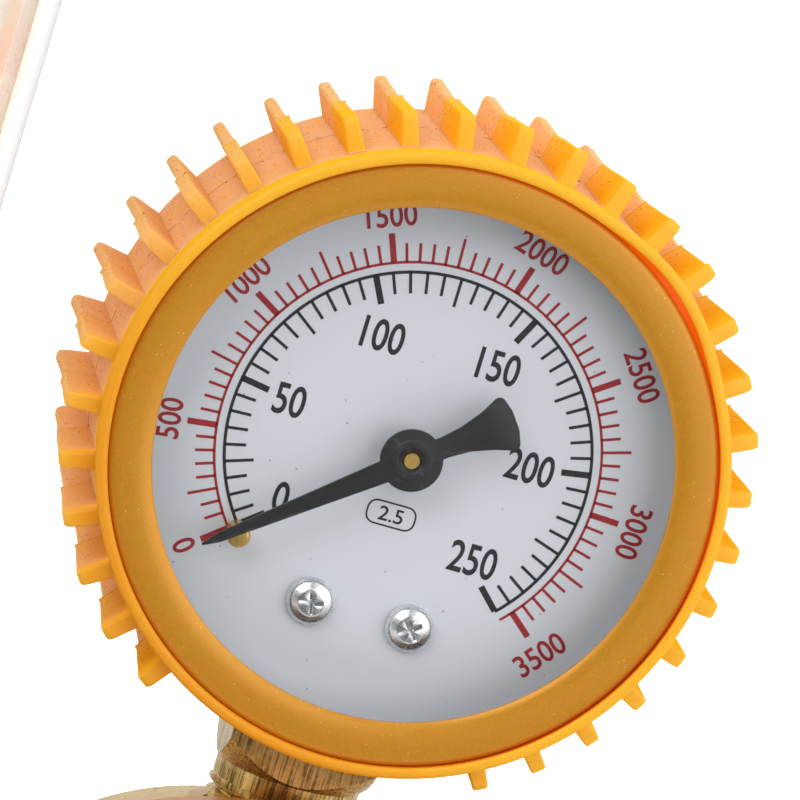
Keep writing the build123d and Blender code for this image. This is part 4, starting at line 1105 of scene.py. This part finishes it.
def build_inlet():
    """Nipple with a bullet nose, the sintered filter in it, and the threaded nut that spins on it."""
    nipple = lathe("nipple", [(1.8, 21), (6.6, 21), (6.6, 32.02), (10.6, 32.02), (10.6, 36), (6, 36),
                              (6, 61.4), (9, 61.4), (9, 64.2), (8, 66.4), (6.2, 68.6), (4.4, 70), (3.3, 70),
                              (3.3, 63), (1.8, 63)],
                   {3: 0.3, 4: 0.5, 7: 0.3, 8: 0.8, 9: 1.5, 10: 1.5, 11: 0.3, 12: 0.2})
    stand_in(nipple, "inlet_nipple", INLET)
    cup = lathe("cup", [(0, 67), (2, 67), (2, 63), (3.28, 63), (3.28, 68.5), (0, 68.5)], {4: 0.35}, steps=64)
    stand_in(cup, "inlet_filter", INLET)
    nut = hexagon("nut", 28.6, 36.42, 50.0, 0.25)
    collar = lathe("collar", [(0, 48), (10.9, 48), (10.9, 51.6)] + thread_ring(12.2, 52.4, 59.6, 1.8, 1.0)
                   + [(11.0, 60.98), (0, 60.98)], steps=120)
    cut(nut, collar, "UNION")
    bore(nut, 6.08, 30, 62)
    stand_in(nut, "inlet_nut", INLET, 30)


# Flowmeter

def build_flow_base():
    """Base block with its bores, and the hexagon arm that joins it to the drum."""
    base = lathe("base", [(0, -20), (17, -20), (17, 14), (15.1, 14), (15.1, 8), (6.9, 8), (6.9, 5), (6.05, 5),
                          (6.05, 3), (0, 3)], {1: 1.0, 2: 0.8, 3: 0.3}, steps=128)
    valve = lathe("valve_bore", [(0, 0), (1.2, 0), (1.2, 3), (3, 3), (3, 7.5), (5, 7.5), (5, 18), (0, 18)],
                  steps=64)
    cut(base, moved(valve, Matrix.Translation((0, 0, VALVE_Z)) @ TO_FRONT))
    bore(base, 6.55, 9.8, 18, ALONG_X)
    bore(base, 6.05, -21, -14.8)
    stand_in(base, "flow_base", FLOW)
    arm = join([hexagon("arm", 17, -38.18, -30.02, 0.25),
                lathe("arm_ends", [(0, -45.2), (6.5, -45.2), (6.5, -20.5), (0, -20.5)], {1: 0.4, 2: 0.4})])
    stand_in(arm, "outlet_arm", BODY @ ALONG_X)


def build_tubes():
    """Clear cover and flow tube, the ball, its stops and the spacer at the top."""
    cover = lathe("cover", [(13, 9.22), (15, 9.22), (15, 111.98), (13, 111.98)],
                  {index: 0.25 for index in range(4)}, steps=128)
    stand_in(cover, "tube_cover", FLOW)
    tube = lathe("tube", [(2.6, 3), (6, 3), (6, 104), (3.3, 104)], {1: 0.3, 2: 0.3})
    stand_in(tube, "flow_tube", FLOW)
    clear()
    bpy.ops.mesh.primitive_uv_sphere_add(segments=48, ring_count=24, radius=2.5, location=(0, 0, 18.5))
    stand_in(added("ball"), "flow_ball", FLOW, 180)
    pegs = []
    for low, high, foot, height, wide in ((3.0, 15.98, 3.0, 3.0, 2.5), (87.32, 104.0, 99.0, 5.0, 3.2)):
        pegs.append(lathe("peg", [(0, low), (0.9, low), (0.9, high), (0, high)], {1: 0.2, 2: 0.2}, 32))
        pegs.append(block("cross", (-wide, -0.5, foot), (wide, 0.5, foot + height), 0.1))
        pegs.append(block("cross", (-0.5, -wide, foot), (0.5, wide, foot + height), 0.1))
    stand_in(join(pegs), "float_stops", FLOW)
    spacer = lathe("spacer", [(2.2, 104.02), (6.05, 104.02), (6.05, 99), (8, 99), (12.6, 104.02),
                              (12.6, 112.58), (2.2, 112.58)], {3: 0.4, 4: 0.4, 5: 0.3})
    cut(spacer, block("slot", (-14, -1.5, 110), (14, 1.5, 120)))
    cut(spacer, block("slot", (-1.5, -14, 110), (1.5, 14, 120)))
    stand_in(spacer, "top_spacer", FLOW)


def build_scale(ink):
    """Plain graduation on the front of the flow tube."""
    marks = []
    for index in range(26):
        height = 21.0 + index * 2.4
        sweep = 40.8 if index % 5 == 0 else 21.6
        mark = lathe("mark", [(6.01, height - 0.15), (6.05, height - 0.15), (6.05, height + 0.15),
                              (6.01, height + 0.15)], steps=12, angle=sweep)
        marks.append(moved(mark, turned(sweep - 98.0)))
        if index % 5 == 0 and index:
            text = numeral(str(index), 0, 0, 0, 2.1, 0.8, 0, 0.012)
            ahead = Matrix.Translation((0, -6.14, height))
            marks.append(moved(text, turned(-28) @ ahead @ TO_FRONT))
    finish(join(marks), "flow_scale", FLOW, "regulator", ink)


def build_seals():
    """Rings and washers of the whole unit, kept together."""
    seals = []
    for matrix, outer, inner, low, high in ((BODY, 6.6, 2.2, 16.0, 17.2), (FRONT, 8.2, 6.1, -18.0, -17.0),
                                            (FLOW, 14.9, 13.1, 8.0, 9.2), (FLOW, 14.9, 13.1, 112.0, 113.2),
                                            (FLOW, 6.85, 6.02, 5.0, 7.6), (VALVE, 2.5, 1.8, 16.1, 17.3)):
        ring = lathe("seal", [(inner, low), (outer, low), (outer, high), (inner, high)],
                     {0: 0.15, 1: 0.3, 2: 0.3, 3: 0.15})
        seals.append(moved(ring, matrix))
    stand_in(join(seals), "seal_rings", Matrix.Identity(4))


def build_top_and_knob():
    """Fluted top cap, gland, fluted knob and its screw."""
    cap = lathe("top_cap", [(0, 120), (15.5, 120), (17, 118.5), (17, 106), (15.05, 106), (15.05, 113.22),
                            (12.7, 113.22), (12.7, 112.6), (0, 112.6)], {1: 0.5, 2: 0.5, 3: 0.5, 4: 0.2}, 144)
    cut(cap, copies(drum("flute", 2.0, 108, 121, 18.2, 0, 32), range(0, 360, 60)))
    stand_in(cap, "top_cap", FLOW, 28)
    sleeve = lathe("gland_sleeve", [(3.6, 7.6), (4.95, 7.6), (4.95, 17.2), (2.6, 17.2), (2.6, 14), (3.6, 14)])
    cut(sleeve, block("ears", (-4.2, -0.58, 7), (4.2, 0.58, 10.4)))
    gland = hexagon("gland", 14, 17.02, 21, 0.2)
    bore(gland, 2.6, 10, 22)
    stand_in(join([gland, sleeve]), "gland_nut", VALVE)
    knob = lathe("knob", [(2.52, 21.12), (5.2, 21.12), (5.2, 23), (10.5, 23), (15, 25), (15, 37), (13.5, 38),
                          (5.5, 38), (5.5, 36.5), (3.0, 36.5), (3.0, 34), (1.05, 34), (1.05, 31.2),
                          (2.52, 31.2)], {1: 0.2, 3: 0.6, 4: 0.9, 5: 0.6, 6: 0.7, 7: 0.4}, steps=144)
    cut(knob, copies(drum("flute", 2.6, 24.5, 39, 16.3, 0, 32), range(0, 360, 30)))
    stand_in(knob, "valve_knob", VALVE, 28)
    screw = lathe("knob_screw", [(0, 27), (0.88, 27), (0.88, 34), (2.6, 34), (2.6, 35.1), (2.1, 35.58),
                                 (0, 35.58)], {4: 0.25, 5: 0.3}, steps=48)
    cut(screw, block("slot", (-2.8, -0.3, 35.0), (2.8, 0.3, 36)))
    stand_in(screw, "knob_screw", VALVE)


def build_outlet():
    """Outlet fitting, swivel nut and hose barb under the base."""
    thread = thread_ring(7.9, -36.2, -28.4, **FINE_THREAD)
    shank = lathe("adapter", [(1.8, -34.2), (4.6, -36.98), (7.1, -36.98)] + thread
                  + [(6.9, -27.6), (6.9, -25), (6, -25), (6, -15), (1.8, -15)])
    stand_in(join([hexagon("adapter_hexagon", 22, -26, -20.02, 0.25), shank]), "outlet_adapter", FLOW, 30)
    nut = hexagon("hose_nut", 19, -45, -29.5, 0.25)
    bore(nut, 7.98, -40.9, -28)
    bore(nut, 4.75, -46, -30)
    stand_in(nut, "outlet_nut", FLOW)
    points = [(1.6, -35.4), (2.7, -35.4), (4.2, -37.02), (6.4, -37.02), (6.4, -40.6), (4.3, -40.6),
              (4.3, -47.5)]
    rounds = {3: 0.3, 4: 0.3, 17: 0.3}
    for index in range(5):
        rounds[len(points)] = 0.12
        points += [(4.6, -47.51 - 3.5 * index), (3.7, -50.9 - 3.5 * index)]
    points += [(3.5, -66), (1.6, -66)]
    stand_in(lathe("barb", points, rounds, steps=72), "outlet_barb", FLOW, 30)


# Back of the gauge

def build_gauge_back():
    """Case cup with its openings, blow-out plug, case screws, lens and zero peg."""
    case = lathe("case", [(0, -20.38), (17.4, -20.38), (17.7, -20.15), (18.6, -20.15), (18.9, -20.38),
                          (26.2, -20.38), (26.2, 3), (25.4, 3), (25.4, -19.6), (0, -19.6)], {5: 0.7},
                 steps=144)
    cut(case, block("opening", (-7.2, -30.2, -19.7), (7.2, -23.2, -8.3)))
    bore(case, 4.0, -22, -19, None, 0, 10)
    stand_in(case, "gauge_case", GAUGE, 30)
    plug = lathe("plug", [(0, -21), (5, -21), (5, -20.42), (3.98, -20.42), (3.98, -19.6), (4.6, -19.6),
                          (4.6, -19.12), (0, -19.12)], {1: 0.3, 6: 0.2}, steps=72)
    stand_in(moved(plug, Matrix.Translation((0, 10, 0))), "blowout_plug", GAUGE)
    screws = []
    for x in (-4.5, 4.5):
        head = lathe("screw", [(0, -21.58), (1.6, -21.58), (2.0, -21.1), (2.0, -20.42), (1.2, -20.42),
                               (1.2, -16.2), (0, -16.0)], {1: 0.2, 2: 0.3}, steps=48)
        cut(head, block("slot", (-2.1, -0.25, -22), (2.1, 0.25, -21.1)))
        screws.append(moved(head, Matrix.Translation((x, -16, 0))))
    stand_in(join(screws), "case_screws", GAUGE)
    lens = lathe("lens", [(0, 4.12), (26, 4.12), (26, 5.6), (0, 5.6)], {1: 0.1, 2: 0.1}, steps=144)
    stand_in(lens, "gauge_lens", GAUGE)
    peg = lathe("peg", [(0, -1.1), (0.6, -1.1), (0.6, 0), (1.05, 0), (1.05, 2.3), (0.85, 2.6), (0, 2.6)],
                {4: 0.15, 5: 0.2}, steps=48)
    stand_in(moved(peg, Matrix.Translation((-12.8, -10.9, 0))), "pointer_stop", GAUGE)


# Everything else in the frame

def dress():
    """Gives each carried-over node the material of its slot."""
    slots = {part["node"]: part["material_slot"] for part in frame["record"]["subparts"]}
    for node, obj in frame["nodes"].items():
        material = MATERIALS.get(slots.get(node))
        if material is None:
            raise RuntimeError("no material for " + node)
        obj.data.materials.clear()
        obj.data.materials.append(material)


def build_materials(scene):
    """Materials for every slot of the record."""
    gauge, brass = scene.regulator_gauge, scene.regulator_brass
    return {
        "boot_rubber": rubber_material("Boot rubber", (0.86, 0.36, 0.12, 1)),
        "gold_paint": gold_material(gauge.paint),
        "steel_case": steel_material("Cup steel", (0.42, 0.43, 0.45, 1), 0.35),
        "screw_zinc": steel_material("Bright zinc", (0.84, 0.85, 0.86, 1), 0.2),
        "lens_clear": clear_material("Clear lens", (0.3, 0.3, 0.31, 1), 0.008),
        "dial_silver": dial_material(gauge.silver),
        "pointer_black": plastic_material("Pointer black", (0.018, 0.018, 0.02, 1), 0.42),
        "brass_cast": brass_material("Forged brass", brass.cast, 0.45, cast=True),
        "brass_cut": brass_material("Cut brass", brass.cut, 0.3),
        "bronze_tube": brass_material("Drawn bronze", (0.55, 0.3, 0.12, 1), 0.28),
        "seal_black": rubber_material("Seal rubber", (0.02, 0.02, 0.02, 1)),
        "diaphragm_rubber": rubber_material("Diaphragm", (0.03, 0.028, 0.026, 1)),
        "spring_steel": steel_material("Spring steel", (0.36, 0.36, 0.37, 1), 0.3),
        "seat_nylon": plastic_material("Nylon", (0.75, 0.72, 0.62, 1)),
        "tube_clear": clear_material("Clear tube", (0.42, 0.42, 0.44, 1), 0.06, 1.0),
        "ball_black": plastic_material("Ball", (0.015, 0.015, 0.015, 1), 0.2, 0.004),
        "stop_plastic": plastic_material("Stop plastic", (0.6, 0.6, 0.58, 1)),
        "knob_plastic": plastic_material("Knob plastic", (0.02, 0.02, 0.021, 1)),
    }


class RegulatorOperator:
    """Shared settings of the building operators."""

    bl_options = {"REGISTER", "UNDO"}


class REGULATOR_OT_dress(RegulatorOperator, bpy.types.Operator):
    """Make the materials and give them to the carried-over CAD nodes"""

    bl_idname = "regulator.dress"
    bl_label = "Dress CAD nodes"

    def execute(self, context):
        """Runs the step."""
        MATERIALS.update(build_materials(context.scene))
        dress()
        return {"FINISHED"}


class REGULATOR_OT_boot(RegulatorOperator, bpy.types.Operator):
    """Build the finned rubber boot"""

    bl_idname = "regulator.boot"
    bl_label = "Boot"

    def execute(self, context):
        """Runs the step."""
        build_boot(context.scene.regulator_boot)
        return {"FINISHED"}


class REGULATOR_OT_gauge(RegulatorOperator, bpy.types.Operator):
    """Build the bezel, the printed scales, the dial screws and the pointer"""

    bl_idname = "regulator.gauge"
    bl_label = "Gauge front"

    def execute(self, context):
        """Runs the step."""
        build_bezel()
        build_print(context.scene.regulator_gauge)
        build_screws()
        build_pointer()
        return {"FINISHED"}


class REGULATOR_OT_stem(RegulatorOperator, bpy.types.Operator):
    """Build the gauge's square stem"""

    bl_idname = "regulator.stem"
    bl_label = "Stem"

    def execute(self, context):
        """Runs the step."""
        build_stem(brass_material("Milled brass", context.scene.regulator_brass.cut, 0.26, milled=True))
        return {"FINISHED"}


class REGULATOR_OT_body(RegulatorOperator, bpy.types.Operator):
    """Build the forged body, the bonnet, the rear plug and the relief valve"""

    bl_idname = "regulator.body"
    bl_label = "Body"

    def execute(self, context):
        """Runs the step."""
        build_body()
        build_bonnet()
        build_rear_and_relief()
        return {"FINISHED"}


class REGULATOR_OT_inlet(RegulatorOperator, bpy.types.Operator):
    """Build the inlet nipple, its filter and its nut"""

    bl_idname = "regulator.inlet"
    bl_label = "Inlet"

    def execute(self, context):
        """Runs the step."""
        build_inlet()
        return {"FINISHED"}


class REGULATOR_OT_flow(RegulatorOperator, bpy.types.Operator):
    """Build the flowmeter: base, tubes, scale, seals, cap, knob and outlet"""

    bl_idname = "regulator.flow"
    bl_label = "Flowmeter"

    def execute(self, context):
        """Runs the step."""
        build_flow_base()
        build_tubes()
        build_scale(print_material("Scale ink", context.scene.regulator_gauge.black))
        build_seals()
        build_top_and_knob()
        build_outlet()
        return {"FINISHED"}


class REGULATOR_OT_back(RegulatorOperator, bpy.types.Operator):
    """Build the gauge's case, plug, screws, lens and zero peg"""

    bl_idname = "regulator.back"
    bl_label = "Gauge back"

    def execute(self, context):
        """Runs the step."""
        build_gauge_back()
        return {"FINISHED"}


# Stage

# The camera solved from points on the photograph: its place in metres and its three directions
CAMERA_PLACE = (-0.15616, -0.60776, 0.16236)
CAMERA_RIGHT = Vector((0.95311, -0.09012, 0.28891))
CAMERA_UP = Vector((-0.26912, 0.18427, 0.94531))
CAMERA_AHEAD = Vector((0.13842, 0.97874, -0.15137))
LIGHT_TARGET = (-0.07, -0.01, 0.05)


def seen(net):
    """Factor that is 1 for what the camera sees, directly or through clear pieces."""
    path = net.add("ShaderNodeLightPath")
    return net.math("MAXIMUM", path.outputs["Is Camera Ray"], path.outputs["Is Transmission Ray"])


def softbox(name, location, side, power):
    """Large square light aimed at the regulator."""
    clear()
    bpy.ops.object.light_add(type="AREA", location=location)
    light = bpy.context.object
    light.name = name
    light.data.shape = "RECTANGLE"
    light.data.size = side
    light.data.size_y = side
    light.data.energy = power
    aim = Vector(LIGHT_TARGET) - Vector(location)
    light.rotation_euler = aim.to_track_quat("-Z", "Y").to_euler()


def build_stage(settings):
    """White floor and surroundings, soft lights and the camera."""
    scene = bpy.context.scene
    scene.view_settings.view_transform = "Standard"
    clear()
    bpy.ops.mesh.primitive_plane_add(size=3, location=(-0.07, 1.2, -0.12))
    floor = bpy.context.object
    floor.name = "floor"
    material, net, shader = new_material("Pale floor")
    net.put(shader, "Base Color", (0.8, 0.8, 0.8, 1))
    net.put(shader, "Roughness", 0.9)
    net.put(shader, "Emission Color", (1, 1, 1, 1))
    net.put(shader, "Emission Strength", seen(net))
    floor.data.materials.append(material)

    world = bpy.data.worlds.new("White surroundings")
    scene.world = world
    world.use_nodes = True
    net = Net(world.node_tree)
    aim = net.add("ShaderNodeSeparateXYZ", {0: net.add("ShaderNodeTexCoord").outputs["Generated"]})
    dark = net.band(aim.outputs[1], -0.45, -0.75, settings.ambient, settings.front)
    visible = seen(net)
    hidden = net.times(dark, net.math("SUBTRACT", 1.0, visible))
    background = world.node_tree.nodes["Background"]
    net.put(background, "Color", (1, 1, 1, 1))
    net.put(background, "Strength", net.math("ADD", hidden, visible))

    softbox("key_light", (-0.75, -0.8, 0.75), 0.8, settings.key)
    softbox("fill_light", (0.52, -0.9, 0.42), 1.15, settings.fill)

    clear()
    bpy.ops.object.camera_add()
    camera = bpy.context.object
    camera.name = "camera"
    turn = Matrix((CAMERA_RIGHT, CAMERA_UP, -CAMERA_AHEAD)).transposed().to_4x4()
    camera.matrix_world = Matrix.Translation(CAMERA_PLACE) @ turn
    camera.data.lens = settings.lens
    camera.data.sensor_width = 36.0
    camera.data.clip_start = 0.01
    camera.data.clip_end = 20.0
    scene.camera = camera


class REGULATOR_OT_stage(RegulatorOperator, bpy.types.Operator):
    """Set up the floor, the white surroundings, the lights and the camera"""

    bl_idname = "regulator.stage"
    bl_label = "Stage"

    def execute(self, context):
        """Runs the step."""
        build_stage(context.scene.regulator_stage)
        return {"FINISHED"}


# Add-on

SETTINGS = {"regulator_boot": BootSettings, "regulator_gauge": GaugeSettings,
            "regulator_brass": BrassSettings, "regulator_stage": StageSettings}
OPERATORS = [REGULATOR_OT_dress, REGULATOR_OT_boot, REGULATOR_OT_gauge, REGULATOR_OT_back, REGULATOR_OT_stem,
             REGULATOR_OT_body, REGULATOR_OT_inlet, REGULATOR_OT_flow, REGULATOR_OT_stage]


class REGULATOR_PT_panel(bpy.types.Panel):
    """Lists the settings and the building steps."""

    bl_label = "Regulator"
    bl_idname = "REGULATOR_PT_panel"
    bl_space_type = "VIEW_3D"
    bl_region_type = "UI"
    bl_category = "Regulator"

    def draw(self, context):
        """Draws the panel."""
        for key, kind in SETTINGS.items():
            box = self.layout.box()
            group = getattr(context.scene, key)
            for name in kind.__annotations__:
                box.prop(group, name)
        for operator in OPERATORS:
            self.layout.operator(operator.bl_idname)


def register():
    """Registers the classes and their settings."""
    for kind in [*SETTINGS.values(), *OPERATORS, REGULATOR_PT_panel]:
        bpy.utils.register_class(kind)
    for key, kind in SETTINGS.items():
        setattr(bpy.types.Scene, key, bpy.props.PointerProperty(type=kind))


def unregister():
    """Removes the classes and their settings."""
    for key in SETTINGS:
        delattr(bpy.types.Scene, key)
    for kind in reversed([*SETTINGS.values(), *OPERATORS, REGULATOR_PT_panel]):
        bpy.utils.unregister_class(kind)


def main():
    """Builds everything in order."""
    register()
    bpy.ops.regulator.dress()
    bpy.ops.regulator.boot()
    bpy.ops.regulator.gauge()
    bpy.ops.regulator.back()
    bpy.ops.regulator.stem()
    bpy.ops.regulator.body()
    bpy.ops.regulator.inlet()
    bpy.ops.regulator.flow()
    bpy.ops.regulator.stage()


if __name__ == "__main__":
    main()
